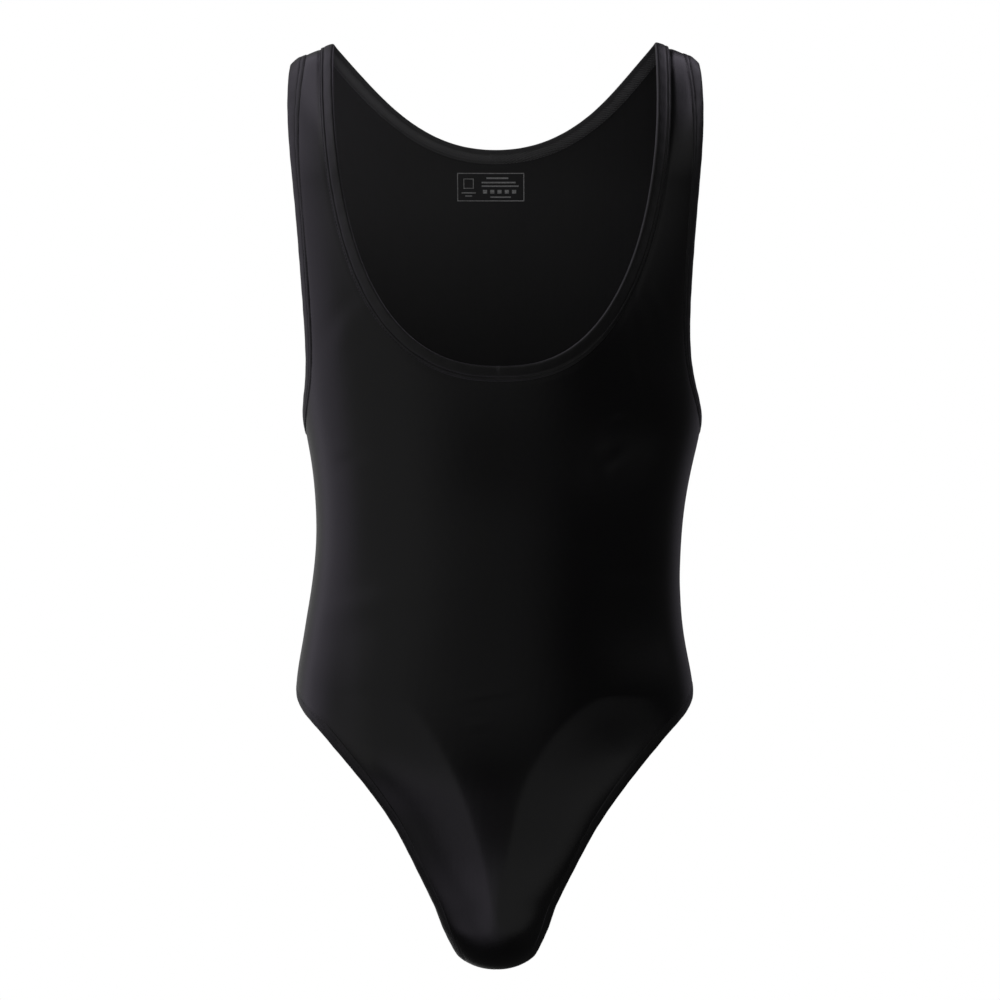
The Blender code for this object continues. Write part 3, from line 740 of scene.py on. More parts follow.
def thickened(points, normals, quads, below):
    """A closed wall: the cells, the same ones moved in along the normals, and a rim round every open edge."""
    ends = np.concatenate([quads[:, [i, (i + 1) % 4]] for i in range(4)])
    _, first, count = np.unique(np.sort(ends, axis=1), axis=0, return_index=True, return_counts=True)
    rim = ends[first[count == 1]]
    inner = len(points)
    sides = np.stack([rim[:, 1], rim[:, 0], rim[:, 0] + inner, rim[:, 1] + inner], axis=-1)
    faces = np.concatenate([quads, quads[:, ::-1] + inner, sides])
    return np.concatenate([points, points - below * normals]), faces


def enclosed(points, faces):
    """Six times the volume inside the faces, which is below 0 where they point inwards."""
    corners = points[faces]
    total = np.einsum("ij,ij->", corners[:, 0], np.cross(corners[:, 1], corners[:, 2]))
    return total + np.einsum("ij,ij->", corners[:, 0], np.cross(corners[:, 2], corners[:, 3]))


SHARP_ANGLE = np.radians(62.0)


def new_piece(name, points, faces, finishes, uv=None, uses=None):
    """A smooth mesh object of four-cornered faces that point outwards, points in metres, with its own UV map.

    uses says which of the finishes each face takes, where there are several.
    """
    faces = faces if enclosed(points, faces) > 0 else faces[:, ::-1]
    mesh = bpy.data.meshes.new(name)
    mesh.from_pydata(points.tolist(), [], faces.tolist())
    if uv is not None:
        layer = mesh.uv_layers.new(name="cloth")
        layer.data.foreach_set("uv", uv[faces.ravel()].astype(np.float32).ravel())
    mesh.shade_smooth()
    mesh.set_sharp_from_angle(angle=SHARP_ANGLE)
    for finish in finishes:
        mesh.materials.append(finish)
    if uses is not None:
        mesh.polygons.foreach_set("material_index", uses)
    piece = bpy.data.objects.new(name, mesh)
    bpy.context.scene.collection.objects.link(piece)
    return piece


def carried(piece, slot, *nodes):
    """The piece rides on the one body, and the model's parts named by nodes are hidden. slot is not used."""
    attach(piece, "root")
    if nodes:
        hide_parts(*nodes)
    return piece


def panel(name, side, plan, finishes):
    """A body panel: the form, moved along its normal by folds, ripples, seam valleys and joining seams."""
    places, quads = panel_places(side, plan)
    points, normals = form_point(*places.T), outward(*places.T)
    lift = creases(points, side) + ripples(points) + seam_valleys(points, side) + joining_seam(places, points)
    if side == "front":
        lift += turned_down(points)
    moved = points + lift[:, None] * normals
    wall, faces = thickened(moved, normals, quads, CLOTH)
    uv = np.stack([girth_from_middle(places), places[:, 1]], axis=-1) * MM
    uses = (np.arange(len(faces)) // len(quads) == 1).astype(np.int32)
    return new_piece(name, worn(wall), faces, finishes, np.concatenate([uv, uv]), uses)


# A binding's cut across: reach from the finished edge and height over the form, round from the seam
ProfileRow = namedtuple("ProfileRow", "reach height")
RAISED_PROFILE = (
    ProfileRow(12.3, -0.75),
    ProfileRow(12.2, -0.15),
    ProfileRow(11.9, 0.22),
    ProfileRow(11.4, 0.26),
    ProfileRow(10.9, 0.62),
    ProfileRow(10.4, 0.78),
    ProfileRow(9.9, 0.82),
    ProfileRow(9.5, 0.72),
    ProfileRow(9.2, 0.56),
    ProfileRow(8.9, 0.38),
    ProfileRow(8.6, 0.58),
    ProfileRow(8.2, 0.82),
    ProfileRow(7.4, 1.0),
    ProfileRow(6.0, 1.08),
    ProfileRow(4.0, 1.1),
    ProfileRow(2.4, 1.06),
    ProfileRow(1.4, 0.9),
    ProfileRow(0.7, 0.58),
    ProfileRow(0.25, 0.1),
    ProfileRow(0.05, -0.45),
    ProfileRow(0.05, -1.0),
    ProfileRow(0.35, -1.35),
    ProfileRow(0.9, -1.55),
    ProfileRow(1.8, -1.68),
    ProfileRow(4.5, -1.75),
    ProfileRow(7.9, -1.65),
    ProfileRow(10.1, -1.62),
    ProfileRow(11.6, -1.65),
    ProfileRow(12.2, -1.35),
)
# The leg openings' strip lies nearly flush with the cloth and rolls in at its edge
FLUSH_HEIGHTS = (
    *(-0.6, -0.12, 0.03, 0.05, 0.1, 0.12, 0.12, 0.1, 0.07, 0.04, 0.08, 0.1, 0.1, 0.06, -0.06),
    *(-0.3, -0.58, -0.85, -1.08, -1.28, -1.42, -1.56, -1.66, -1.74, -1.78, -1.7, -1.65, -1.65, -1.35),
)
# How far each strip lies flat, between the raised cut and the flush one
FLATNESS = {"neck": 0.0, "armhole": 0.5, "leg": 1.0}
INNER_ROWS = 20
EDGE_STEP = 2.6
FINE_EDGE_STEP = 1.3

# How the neck's strip stands up off the right strap
STAND_OFF = 0.8
STAND_OFF_LOW = -210.0
STAND_OFF_RISE = 90.0
STAND_OFF_END = 20.0
STAND_OFF_FADE = 40.0

# Stitches
RAISED_STITCH = 0.48
FLUSH_STITCH = -0.04
STITCH_REACHES = (11.4, 8.9)
INNER_STITCH = -1.72
INNER_LOOP_REACH = 3.4
STITCH_PITCH = 2.9
STITCH_LENGTH = 2.1
STITCH_RADIUS = 0.26
THREAD_CORNERS = 6
THREAD_RINGS = (-0.97, -0.6, 0.0, 0.6, 0.97)
JOIN_THREADS = (-4.6, -4.0, -3.4)
JOIN_REACHES = (3.2, 8.2)
JOIN_STITCH = -1.92


def neck_run(reach, front_lengths, back_lengths):
    """Places round the whole neck at one reach: right front, right back, left back and left front."""
    front, back = NECK["front"].at(front_lengths, reach), NECK["back"].at(back_lengths, reach)
    right = np.concatenate([front, back[-2::-1]])
    return np.concatenate([right, right[-2:0:-1] * FLIP])


def armhole_run(reach, front_lengths, back_lengths):
    """Places round the right armhole at one reach, from the armpit up the front and down the back."""
    front, back = ARMHOLE["front"].at(front_lengths, reach), ARMHOLE["back"].at(back_lengths, reach)
    return np.concatenate([front, back[-2:0:-1]])


def steps_along(edge, step):
    """Lengths along a whole edge in even steps of about this size."""
    return np.linspace(0.0, edge.length[-1], max(2, round(edge.length[-1] / step)) + 1)


def ring_at(kind, reach, step=EDGE_STEP):
    """Places round one binding at one reach from its finished edge."""
    if kind == "neck":
        return neck_run(reach, steps_along(NECK["front"], step), steps_along(NECK["back"], step))
    if kind == "armhole":
        return armhole_run(reach, steps_along(ARMHOLE["front"], step), steps_along(ARMHOLE["back"], step))
    return LEG.at(steps_along(LEG, step), reach)[:-1]


def stand_off(points):
    """How far the neck binding stands up off the right strap's front, more towards its seam."""
    x, y, z = np.moveaxis(points, -1, 0)
    rise = ease((z - STAND_OFF_LOW) / STAND_OFF_RISE) * ease((STAND_OFF_END - z) / STAND_OFF_FADE)
    return STAND_OFF * rise * (x > 0) * (y < 0)


def pucker(along, reach):
    """A slight unevenness along a binding, as its stretch gathers the cloth between the stitches.

    Short waves of 19 mm swell and fade over 80 mm, and slow waves of 130 mm are added.
    """
    short = 0.10 * np.sin(along / 3.1) * np.sin(along / 13.0 + 0.4 * reach)
    return short + 0.12 * np.sin(along / 21.0 + 0.8)


def leg_turn(points):
    """How the leg strip follows the lower front where it turns down. Further back it stays as it is."""
    flat = points.reshape(-1, 3)
    share = ease((LEG_TURN_START - flat[:, 1]) / LEG_TURN_FADE)
    return (turned_down(flat) * share).reshape(points.shape[:-1])


def lengths_round(points):
    """The length from the first point to each point of a closed ring, and the whole."""
    chords = np.linalg.norm(np.roll(points, -1, axis=0) - points, axis=-1)
    return np.concatenate([[0.0], np.cumsum(chords)[:-1]]), chords.sum()


def settled(kind, points, along, reach):
    """How far a binding's points move outwards, beside the height of its cut across."""
    lift = pucker(along, reach)
    if kind == "neck":
        lift = lift + stand_off(points) * (reach / BINDING_WIDTH)
    if kind == "leg":
        lift = lift + leg_turn(points)
    return lift


def between(kind, raised, flush):
    """A height between the raised cut's and the flush one's, by the binding's flatness."""
    return raised * (1.0 - FLATNESS[kind]) + flush * FLATNESS[kind]


def binding(name, kind, mirror, finishes):
    """A folded binding: its cut across is carried round the ring on rows of places, one at each reach."""
    reaches = np.array([row.reach for row in RAISED_PROFILE])
    heights = between(kind, np.array([row.height for row in RAISED_PROFILE]), np.array(FLUSH_HEIGHTS))
    rings = np.stack([ring_at(kind, reach) for reach in reaches], axis=1)
    if mirror:
        rings = rings * FLIP
    places = rings.reshape(-1, 2)
    points = form_point(*places.T).reshape(*rings.shape[:2], 3)
    normals = outward(*places.T).reshape(*rings.shape[:2], 3)
    along, _ = lengths_round(points[:, 0])
    lift = heights + settled(kind, points, along[:, None], reaches)
    solid = worn(points + lift[..., None] * normals)
    index = np.arange(solid.shape[0] * solid.shape[1]).reshape(solid.shape[:2])
    index = np.vstack([index, index[:1]])
    index = np.hstack([index, index[:, :1]])
    around = np.concatenate([[0.0], np.cumsum(np.hypot(np.diff(reaches), np.diff(heights)))])
    uv = np.stack(np.broadcast_arrays(along[:, None], around), axis=-1).reshape(-1, 2) * MM
    uses = np.tile(np.arange(len(heights)) >= INNER_ROWS, len(along)).astype(np.int32)
    return new_piece(name, solid.reshape(-1, 3), quads_of(index), finishes, uv, uses)


def capsules(starts, ends, ups):
    """Many small rounded threads as one mesh: rings of points, radius r sqrt(1 - s^2) along each thread."""
    turn = np.arange(THREAD_CORNERS) / THREAD_CORNERS * 2 * np.pi
    share = np.array(THREAD_RINGS)
    run = ends - starts
    side = np.cross(run, ups)
    side /= np.linalg.norm(side, axis=-1, keepdims=True)
    middle = (starts + ends) / 2
    across = np.cos(turn)[:, None] * side[:, None, None] + np.sin(turn)[:, None] * ups[:, None, None]
    rings = np.sqrt(1 - share**2)[None, :, None, None] * STITCH_RADIUS * across
    points = middle[:, None, None] + share[None, :, None, None] * run[:, None, None] / 2 + rings
    index = np.arange(points[..., 0].size).reshape(points.shape[:3])
    closed = np.concatenate([index, index[:, :, :1]], axis=2)
    walls = [closed[:, :-1, :-1], closed[:, :-1, 1:], closed[:, 1:, 1:], closed[:, 1:, :-1]]
    faces = [np.stack(walls, axis=-1).reshape(-1, 4)]
    last = len(THREAD_RINGS) - 1
    for ring, order in ((0, (0, 3, 2, 1)), (0, (0, 5, 4, 3)), (last, (0, 1, 2, 3)), (last, (0, 3, 4, 5))):
        faces.append(index[:, ring, list(order)])
    return points.reshape(-1, 3), np.concatenate(faces)


def along_ring(kind, reach, height, pitch, mirror, phase=0.0):
    """Points and normals at even pitch round a ring, at one reach and height."""
    places = ring_at(kind, reach, FINE_EDGE_STEP)
    if mirror:
        places = places * FLIP
    points, normals = form_point(*places.T), outward(*places.T)
    along, whole = lengths_round(points)
    lift = height + settled(kind, points, along, reach)
    points = points + lift[:, None] * normals
    count = int(whole / pitch)
    at = (np.arange(count) + phase) * whole / count
    closed = np.concatenate([along, [whole]])
    read = [
        np.stack([np.interp(at, closed, np.append(values[:, i], values[0, i])) for i in range(3)], axis=-1)
        for values in (points, normals)
    ]
    return read[0], read[1] / np.linalg.norm(read[1], axis=-1, keepdims=True)


def stitching(name, kind, mirror, finishes):
    """Two rows of straight stitches outside, and the same rows inside with a thread to and fro between."""
    parts = []
    for height, outer in ((between(kind, RAISED_STITCH, FLUSH_STITCH), 1), (INNER_STITCH, -1)):
        for reach in STITCH_REACHES:
            middle, normals = along_ring(kind, reach, height, STITCH_PITCH, mirror)
            run = np.roll(middle, -1, axis=0) - np.roll(middle, 1, axis=0)
            run *= STITCH_LENGTH / 2 / np.linalg.norm(run, axis=-1, keepdims=True)
            parts.append((outer, capsules(middle - run, middle + run, outer * normals)))
    far, up = along_ring(kind, STITCH_REACHES[0], INNER_STITCH, STITCH_PITCH, mirror)
    near, _ = along_ring(kind, INNER_LOOP_REACH, INNER_STITCH, STITCH_PITCH, mirror, 0.5)
    count = min(len(far), len(near))
    far, near, up = far[:count], near[:count], up[:count]
    parts.append((-1, capsules(far, near, -up)))
    parts.append((-1, capsules(near, np.roll(far, -1, axis=0), -up)))
    if kind == "neck":
        parts.append((-1, join_mark()))
    points, faces, uses, start = [], [], [], 0
    for outer, (some_points, some_faces) in parts:
        points.append(some_points)
        faces.append(some_faces + start)
        uses.append(np.full(len(some_faces), outer < 0, np.int32))
        start += len(some_points)
    whole = worn(np.concatenate(points))
    return new_piece(name, whole, np.concatenate(faces), finishes, uses=np.concatenate(uses))


def join_mark():
    """Where the neck strip's ends meet inside the back: three short threads across it, side by side."""
    ends = []
    for reach in JOIN_REACHES:
        places = NECK["back"].at(np.abs(JOIN_THREADS), reach) * FLIP
        points, normals = form_point(*places.T), outward(*places.T)
        ends.append(points + JOIN_STITCH * normals)
    return capsules(ends[0], ends[1], -normals)


# The flat print inside the back, as bars: left, right, top and bottom, seen from the front
PrintBar = namedtuple("PrintBar", "left right top bottom")
PRINT_BARS = (
    PrintBar(-32.2, 23.1, -86.4, -87.1),
    PrintBar(-32.2, 23.1, -108.8, -109.5),
    PrintBar(-32.2, -31.5, -87.1, -108.8),
    PrintBar(22.4, 23.1, -87.1, -108.8),
    PrintBar(-8.0, 10.0, -90.0, -91.3),
    PrintBar(-12.0, 16.0, -93.6, -94.8),
    PrintBar(-12.0, 18.5, -96.6, -97.7),
    PrintBar(-11.0, -7.6, -100.2, -103.2),
    PrintBar(-5.0, -1.6, -100.2, -103.2),
    PrintBar(1.0, 4.4, -100.2, -103.2),
    PrintBar(7.0, 10.4, -100.2, -103.2),
    PrintBar(13.0, 16.4, -100.2, -103.2),
    PrintBar(-5.0, 12.0, -105.6, -106.6),
    PrintBar(-27.0, -18.6, -91.0, -91.6),
    PrintBar(-27.0, -18.6, -98.6, -99.2),
    PrintBar(-27.0, -26.4, -91.6, -98.6),
    PrintBar(-19.2, -18.6, -91.6, -98.6),
    PrintBar(-28.6, -17.0, -102.2, -103.1),
    PrintBar(-25.6, -20.0, -104.8, -105.6),
)
PRINT_HEIGHT = 0.06
PRINT_SINK = 0.02
PRINT_CELL = 3.0


def inner_back(x, z, depth):
    """Points on the inside of the back panel, and the normals there, at a depth below its outer face."""
    places = place(np.abs(x), z, "back")
    places[:, 0] *= np.where(x < 0, -1.0, 1.0)
    points, normals = form_point(*places.T), outward(*places.T)
    lift = creases(points, "back") + ripples(points) - depth
    return points + lift[:, None] * normals, normals


def back_print(finish):
    """Each bar is a thin wall on the inside of the back panel, sunk a little into the cloth."""
    points, faces, start = [], [], 0
    for bar in PRINT_BARS:
        across = max(2, round((bar.right - bar.left) / PRINT_CELL) + 1)
        down = max(2, round((bar.top - bar.bottom) / PRINT_CELL) + 1)
        x, z = np.meshgrid(np.linspace(bar.left, bar.right, across), np.linspace(bar.top, bar.bottom, down))
        face, normals = inner_back(x.ravel(), z.ravel(), CLOTH + PRINT_HEIGHT)
        index = np.arange(x.size).reshape(x.shape)
        wall, cells = thickened(face, normals, quads_of(index), -(PRINT_HEIGHT + PRINT_SINK))
        cells = cells if enclosed(wall, cells) > 0 else cells[:, ::-1]
        points.append(wall)
        faces.append(cells + start)
        start += len(wall)
    return new_piece("back_print", worn(np.concatenate(points)), np.concatenate(faces), [finish])


class Signal:
    """A number in a shader. Arithmetic on it adds Math nodes, so a pattern reads as a formula."""

    def __init__(self, shader, socket):
        self.shader, self.socket = shader, socket

    def math(self, operation, *values):
        made = self.shader.node("ShaderNodeMath", {"operation": operation}, values)
        return Signal(self.shader, made.outputs[0])

    def __add__(self, other):
        return self.math("ADD", self, other)

    def __sub__(self, other):
        return self.math("SUBTRACT", self, other)

    def __rsub__(self, other):
        return self.math("SUBTRACT", other, self)

    def __mul__(self, other):
        return self.math("MULTIPLY", self, other)

    def __truediv__(self, other):
        return self.math("DIVIDE", self, other)

    __radd__ = __add__
    __rmul__ = __mul__

    def sine(self):
        return self.math("SINE", self)

    def size(self):
        return self.math("ABSOLUTE", self)

    def ramp(self, low, high):
        """0 at low, 1 at high, smooth between."""
        settings = {"interpolation_type": "SMOOTHSTEP"}
        values = {"Value": self, "From Min": low, "From Max": high}
        made = self.shader.node("ShaderNodeMapRange", settings, values)
        return Signal(self.shader, made.outputs["Result"])


class NodeMaker:
    """A node tree, and the one method that adds a node to it."""

    def __init__(self, tree):
        self.tree = tree

    def node(self, kind, settings=None, values=()):
        made = self.tree.nodes.new(kind)
        for label, value in (settings or {}).items():
            setattr(made, label, value)
        pairs = values.items() if hasattr(values, "items") else enumerate(values)
        for label, value in pairs:
            self.put(made.inputs[label], value)
        return made

    def put(self, socket, value):
        """Sets a socket to a number or colour, or links it to another node's."""
        if isinstance(value, Signal):
            value = value.socket
        if isinstance(value, bpy.types.NodeSocket):
            self.tree.links.new(value, socket)
        else:
            socket.default_value = value


# A Mix node has a socket of each name for every kind of data, so the colour ones are told by number
MIX_SHARE = 0
MIX_FIRST_COLOUR = 6
MIX_SECOND_COLOUR = 7
MIX_COLOUR_RESULT = 2


class Finish(NodeMaker):
    """A material with the Principled shader."""

    def __init__(self, name, roughness, **fixed):
        self.material = bpy.data.materials.new(name)
        self.material.use_nodes = True
        super().__init__(self.material.node_tree)
        self.surface = self.tree.nodes["Principled BSDF"]
        self.surface.inputs["Roughness"].default_value = roughness
        for label, value in fixed.items():
            self.surface.inputs[label.replace("_", " ")].default_value = value

    def uv(self):
        """The piece's own map: the length along and across the cloth, in metres."""
        read = self.node("ShaderNodeUVMap", {"uv_map": "cloth"})
        parts = self.node("ShaderNodeSeparateXYZ", None, (read.outputs[0],))
        return Signal(self, parts.outputs[0]), Signal(self, parts.outputs[1])

    def place(self):
        """Where each point of the piece lies, in metres, as three numbers."""
        read = self.node("ShaderNodeTexCoord")
        parts = self.node("ShaderNodeSeparateXYZ", None, (read.outputs["Object"],))
        return [Signal(self, parts.outputs[i]) for i in range(3)]

    def noise(self, coordinates, detail=2.0, roughness=0.5):
        """Noise from 0 to 1 over up to three coordinates that are already in its own scale."""
        vector = self.node("ShaderNodeCombineXYZ", None, coordinates)
        values = {"Vector": vector.outputs[0], "Scale": 1.0, "Detail": detail, "Roughness": roughness}
        return Signal(self, self.node("ShaderNodeTexNoise", None, values).outputs["Fac"])

    def colour(self, dark, light, share):
        """The base colour: dark where the share is 0 and light where it is 1."""
        values = {MIX_SHARE: share, MIX_FIRST_COLOUR: dark, MIX_SECOND_COLOUR: light}
        mixed = self.node("ShaderNodeMix", {"data_type": "RGBA"}, values)
        self.put(self.surface.inputs["Base Color"], mixed.outputs[MIX_COLOUR_RESULT])

    def relief(self, height, depth):
        """Bump whose height runs from 0 to 1 over a depth in metres."""
        made = self.node("ShaderNodeBump", None, {"Strength": 1.0, "Distance": depth, "Height": height})
        self.put(self.surface.inputs["Normal"], made.outputs[0])


# The knit's upright ribs and its rows of loops, in metres, and the bounds of the painted light that makes the
# garment's inside paler to the left and at the top
WALE = 0.00085
COURSE = 0.00075
PAINTED_LIGHT_RIGHT = 0.13
PAINTED_LIGHT_WIDTH = 0.26
PAINTED_LIGHT_LOW = -0.28
PAINTED_LIGHT_HIGH = -0.1


def painted_light_share(finish):
    """Painted light on the garment's inside: 1 at the top and the picture's left, falling to 0 at the right
    and below.
    """
    x, _, z = finish.place()
    return ((PAINTED_LIGHT_RIGHT - x) / PAINTED_LIGHT_WIDTH * 0.9 + 0.1) * (z.ramp(PAINTED_LIGHT_LOW, PAINTED_LIGHT_HIGH) * 0.66 + 0.34)


def knit_finish(name, dark, light, roughness, relief, specular, painted_light=0.0):
    """Stretch knit: fine upright wales crossed by courses, faint upright streaks and a slow change of sheen.

    The last argument is the share of the base colour given over to painted light and shade inside the
    garment, paler to the left and at the top.
    """
    made = Finish(name, roughness, Specular_IOR_Level=specular)
    along, up = made.uv()
    wale = (along * (np.pi / WALE)).sine().size()
    course = (up * (2 * np.pi / COURSE) + wale * 2.2).sine() * 0.5 + 0.5
    streaks = made.noise((along * 420.0, up * 9.0), 2.0)
    cloudy = made.noise((along * 14.0, up * 11.0, 3.0), 3.0)
    made.relief(wale * 0.55 + course * 0.3 + streaks * 0.8, relief)
    # Where the last argument is above 0, the base colour is painted light and shade, set by place on the
    # garment's inside
    made.colour(dark, light, (cloudy * 0.6 + streaks * 0.4) * (1.0 - painted_light) + painted_light_share(made) * painted_light)
    made.put(made.surface.inputs["Roughness"], roughness - 0.03 + cloudy * 0.06)
    return made.material


def thread_finish(name, dark, light, roughness, painted_light=0.0):
    """Sewing thread: a fine twist along each stitch, slight changes of shade, and painted light and shade by
    the last argument's share.
    """
    made = Finish(name, roughness, Specular_IOR_Level=0.4)
    x, y, z = made.place()
    twist = ((x + y + z) * 9000.0).sine() * 0.5 + 0.5
    shade = made.noise((x * 90.0, y * 90.0, z * 90.0))
    made.relief(twist, 0.00003)
    # The last argument's share of the base colour is painted light, paler to the left and at the top of the
    # garment's inside
    made.colour(dark, light, shade * (1.0 - painted_light) + painted_light_share(made) * painted_light)
    return made.material


def ink_finish(name, dark, light):
    """Rubbed transfer ink: it is thinner in fine speckles where the knit's loops stand up."""
    made = Finish(name, 0.6, Specular_IOR_Level=0.3)
    x, y, z = made.place()
    speckle = made.noise((x * 1500.0, y * 1500.0, z * 1500.0), 1.0)
    made.colour(dark, light, speckle.ramp(0.35, 0.62))
    made.relief(speckle, 0.00002)
    return made.material


def plain_finish(name, first, second, roughness):
    """A matt coat with slow, slight changes of shade."""
    made = Finish(name, roughness)
    x, y, z = made.place()
    made.colour(first, second, made.noise((x * 2.0, y * 2.0, z * 2.0)))
    return made.material


FLOOR_HEIGHT = -1.3
FLOOR_RINGS = (0.02, 1.0, 2.0, 3.0)
FLOOR_CORNERS = 64


def floor(finish):
    """A flat round floor: rings of points out from the middle, well below the garment."""
    turn = np.arange(FLOOR_CORNERS) / FLOOR_CORNERS * 2 * np.pi
    radii = np.array(FLOOR_RINGS)
    x, y = radii[:, None] * np.cos(turn), radii[:, None] * np.sin(turn)
    points = np.stack([x, y, np.full_like(x, FLOOR_HEIGHT)], axis=-1).reshape(-1, 3)
    index = np.arange(x.size).reshape(x.shape)
    index = np.hstack([index, index[:, :1]])
    mesh = bpy.data.meshes.new("floor")
    middle = index[0, :-1].tolist()
    mesh.from_pydata(points.tolist(), [], quads_of(index).tolist() + [middle])
    mesh.materials.append(finish)
    made = bpy.data.objects.new("floor", mesh)
    bpy.context.scene.collection.objects.link(made)
    made.visible_glossy = False
    made.visible_diffuse = False
    made.visible_shadow = False


def aimed(thing, place, target):
    """The object put at a place and turned to face a target."""
    bpy.context.scene.collection.objects.link(thing)
    line = Vector(target) - Vector(place)
    thing.location = place
    thing.rotation_euler = line.to_track_quat("-Z", "Y").to_euler()
    return thing


# The camera, in metres, with its sensor in millimetres. The frame's width is taken at the garment's middle
CAMERA_DISTANCE = 3.0
CAMERA_SIGHT = 50.0
FRAME_WIDTH = 0.8
SENSOR = 36.0
AIM = (0.0024, 0.0, -0.356)


def camera():
    """Straight in front of the garment, level with its middle."""
    data = bpy.data.cameras.new("camera")
    data.sensor_width = SENSOR
    data.lens = SENSOR * CAMERA_DISTANCE / FRAME_WIDTH
    data.clip_end = CAMERA_SIGHT
    made = aimed(bpy.data.objects.new("camera", data), (AIM[0], -CAMERA_DISTANCE, AIM[2]), AIM)
    bpy.context.scene.camera = made


# The studio round the garment: soft panels on a far dome, by the azimuth and elevation of their middles,
# half sizes and soft edges, in degrees. Azimuth is 0 on the camera's side and grows to the picture's right
SoftPanel = namedtuple("SoftPanel", "name azimuth elevation half_width half_height edge tint brightness")
STUDIO = (
    SoftPanel("key", -107.5, 14.0, 28.5, 32.0, 7.0, "violet", 0.46),
    SoftPanel("above_key", -88.0, 34.0, 36.0, 22.0, 8.0, "violet", 0.24),
    SoftPanel("front_left", -48.0, -2.0, 31.0, 35.0, 3.5, "white", 0.235),
    SoftPanel("front", -4.0, 22.0, 14.0, 37.0, 3.0, "white", 0.12),
    SoftPanel("above_left", -106.0, 59.0, 46.0, 15.0, 8.0, "violet", 0.82),
    SoftPanel("above_front", -40.0, 50.0, 30.0, 18.0, 8.0, "white", 0.5),
    SoftPanel("above_right", 119.0, 50.0, 30.0, 18.0, 6.0, "violet", 0.9),
    SoftPanel("crest_right", 120.0, 75.0, 14.0, 9.0, 4.0, "violet", 0.9),
    SoftPanel("right_upper", 74.0, 25.0, 36.0, 12.0, 8.0, "white", 0.17),
    SoftPanel("low_left", -86.0, -29.0, 22.0, 15.0, 5.0, "white", 0.1),
    SoftPanel("low_right", 46.0, -35.5, 34.0, 14.5, 3.0, "white", 0.17),
    SoftPanel("floor_left", -60.0, -71.0, 54.0, 25.0, 8.0, "violet", 0.28),
    SoftPanel("floor_streak", -28.0, -60.0, 17.0, 29.0, 3.0, "violet", 0.27),
    SoftPanel("floor_middle", 0.0, -66.0, 9.0, 24.0, 4.0, "white", 0.13),
    SoftPanel("floor_right", 44.0, -73.0, 38.0, 24.0, 6.0, "white", 0.2),
    SoftPanel("behind_left", -158.0, 12.0, 20.0, 40.0, 8.0, "white", 0.22),
    SoftPanel("behind_right", 156.0, 16.0, 26.0, 30.0, 8.0, "violet", 0.07),
    SoftPanel("fill_right", 64.0, 0.0, 66.0, 70.0, 6.0, "white", 0.018),
)
TINTS = {"white": (1.0, 1.0, 1.0, 1.0), "violet": (0.99, 0.92, 1.09, 1.0)}
BACKDROP = 1.0
ROOM = 0.02


def studio():
    """The world: white behind the garment, and the soft panels' light on it.

    A panel's light is its brightness inside its borders and 0 outside, with a smooth step across each border.
    """
    world = bpy.data.worlds.new("studio")
    world.use_nodes = True
    world.node_tree.nodes.clear()
    nodes = NodeMaker(world.node_tree)
    read = nodes.node("ShaderNodeTexCoord")
    parts = nodes.node("ShaderNodeSeparateXYZ", None, (read.outputs["Generated"],))
    x, y, z = (Signal(nodes, parts.outputs[i]) for i in range(3))
    elevation = z.math("ARCSINE", z)
    light = {"white": ROOM, "violet": 0.0}
    for panel in STUDIO:
        azimuth = np.radians(panel.azimuth)
        forward = x * np.sin(azimuth) - y * np.cos(azimuth)
        side = x * np.cos(azimuth) + y * np.sin(azimuth)
        across = side.math("ARCTAN2", side, forward).size()
        up = (elevation - np.radians(panel.elevation)).size()
        edge = np.radians(panel.edge)
        wide = 1.0 - across.ramp(np.radians(panel.half_width) - edge, np.radians(panel.half_width) + edge)
        high = 1.0 - up.ramp(np.radians(panel.half_height) - edge, np.radians(panel.half_height) + edge)
        light[panel.tint] = wide * high * panel.brightness + light[panel.tint]
    shaders = [
        nodes.node("ShaderNodeBackground", None, {"Color": TINTS[tint], "Strength": strength}).outputs[0]
        for tint, strength in light.items()
    ]
    lit = nodes.node("ShaderNodeAddShader", None, shaders).outputs[0]
    backdrop = {"Color": TINTS["white"], "Strength": BACKDROP}
    seen = nodes.node("ShaderNodeBackground", None, backdrop).outputs[0]
    path = nodes.node("ShaderNodeLightPath")
    mixed = nodes.node("ShaderNodeMixShader", None, (path.outputs["Is Camera Ray"], lit, seen))
    nodes.node("ShaderNodeOutputWorld", None, (mixed.outputs[0],))
    bpy.context.scene.world = world
    bpy.context.scene.view_settings.view_transform = "Standard"


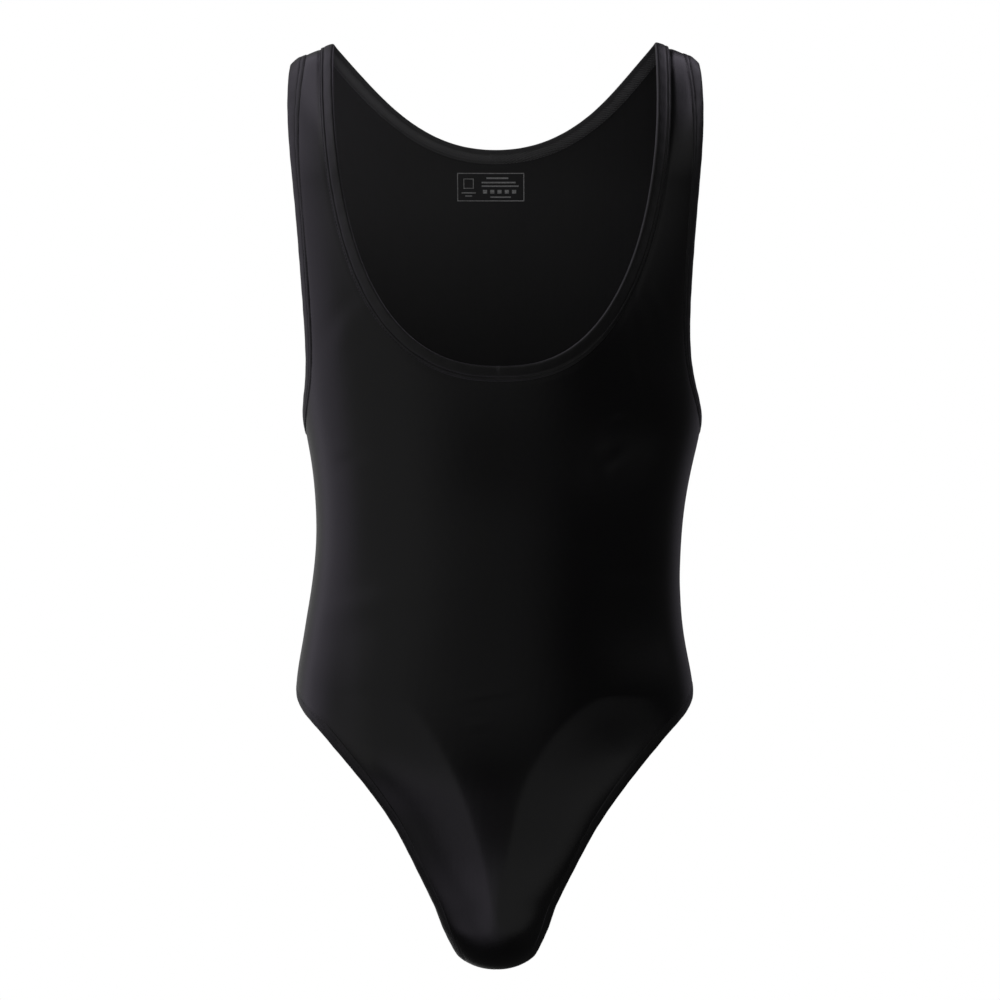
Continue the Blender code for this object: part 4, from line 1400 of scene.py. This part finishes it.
# Finishes, as the darker and the paler shade of each
BLACK = (0.0022, 0.0020, 0.0024, 1.0)
BLACK_PALER = (0.0040, 0.0037, 0.0044, 1.0)
# The paler shades of the inside knit, the turned-in bindings and the looper thread are mostly painted light,
# shown to the left and at the top of the garment's inside
INSIDE_BLACK = (0.006, 0.006, 0.006, 1.0)
INSIDE_PALER = (0.118, 0.117, 0.119, 1.0)
BINDING_BLACK = (0.0034, 0.0033, 0.0036, 1.0)
BINDING_PALER = (0.0064, 0.0062, 0.0067, 1.0)
TURNED_BLACK = (0.028, 0.028, 0.028, 1.0)
TURNED_PALER = (0.17, 0.169, 0.171, 1.0)
THREAD_BLACK = (0.007, 0.007, 0.0075, 1.0)
THREAD_PALER = (0.0105, 0.0105, 0.011, 1.0)
LOOPER_GREY = (0.05, 0.05, 0.05, 1.0)
LOOPER_PALER = (0.36, 0.36, 0.365, 1.0)
INK_GREY = (0.4, 0.4, 0.4, 1.0)
INK_PALER = (0.75, 0.75, 0.75, 1.0)
FLOOR_PALE = (0.82, 0.82, 0.82, 1.0)
FLOOR_DARKER = (0.7954, 0.7954, 0.7954, 1.0)


def garment():
    """The two panels, the five bindings with their stitches, and the print inside the back."""
    knit = knit_finish("black_knit", BLACK, BLACK_PALER, 0.21, 0.00004, 0.5)
    # The inside knit, turned-in bindings and looper thread get painted light and shade from their last
    # argument: paler to the left and at the top
    wrong_side = knit_finish("black_knit_inside", INSIDE_BLACK, INSIDE_PALER, 0.65, 0.00008, 0.12, 0.92)
    edging = knit_finish("black_binding", BINDING_BLACK, BINDING_PALER, 0.32, 0.00008, 0.5)
    turned_in = knit_finish("black_binding_inside", TURNED_BLACK, TURNED_PALER, 0.6, 0.00012, 0.2, 0.8)
    thread = thread_finish("black_thread", THREAD_BLACK, THREAD_PALER, 0.45)
    looper = thread_finish("grey_looper_thread", LOOPER_GREY, LOOPER_PALER, 0.6, 0.8)
    ink = ink_finish("grey_ink", INK_GREY, INK_PALER)
    front = carried(panel("front_body", "front", FRONT_PLAN, (knit, wrong_side)), "knit", "front_panel")
    back = carried(panel("back_body", "back", BACK_PLAN, (knit, wrong_side)), "knit", "back_panel")
    for kind, mirrors in (("neck", (False,)), ("armhole", (False, True)), ("leg", (False, True))):
        for mirror in mirrors:
            side = "" if kind == "neck" else "_left" if mirror else "_right"
            band = binding(f"{kind}_edge{side}", kind, mirror, (edging, turned_in))
            carried(band, "binding", f"{kind}_binding{side}")
            rows = stitching(f"{kind}_stitches{side}", kind, mirror, (thread, looper))
            carried(rows, "binding")
    label = carried(back_print(ink), "binding")


camera()
garment()
floor(plain_finish("pale_floor", FLOOR_PALE, FLOOR_DARKER, 0.9))
studio()
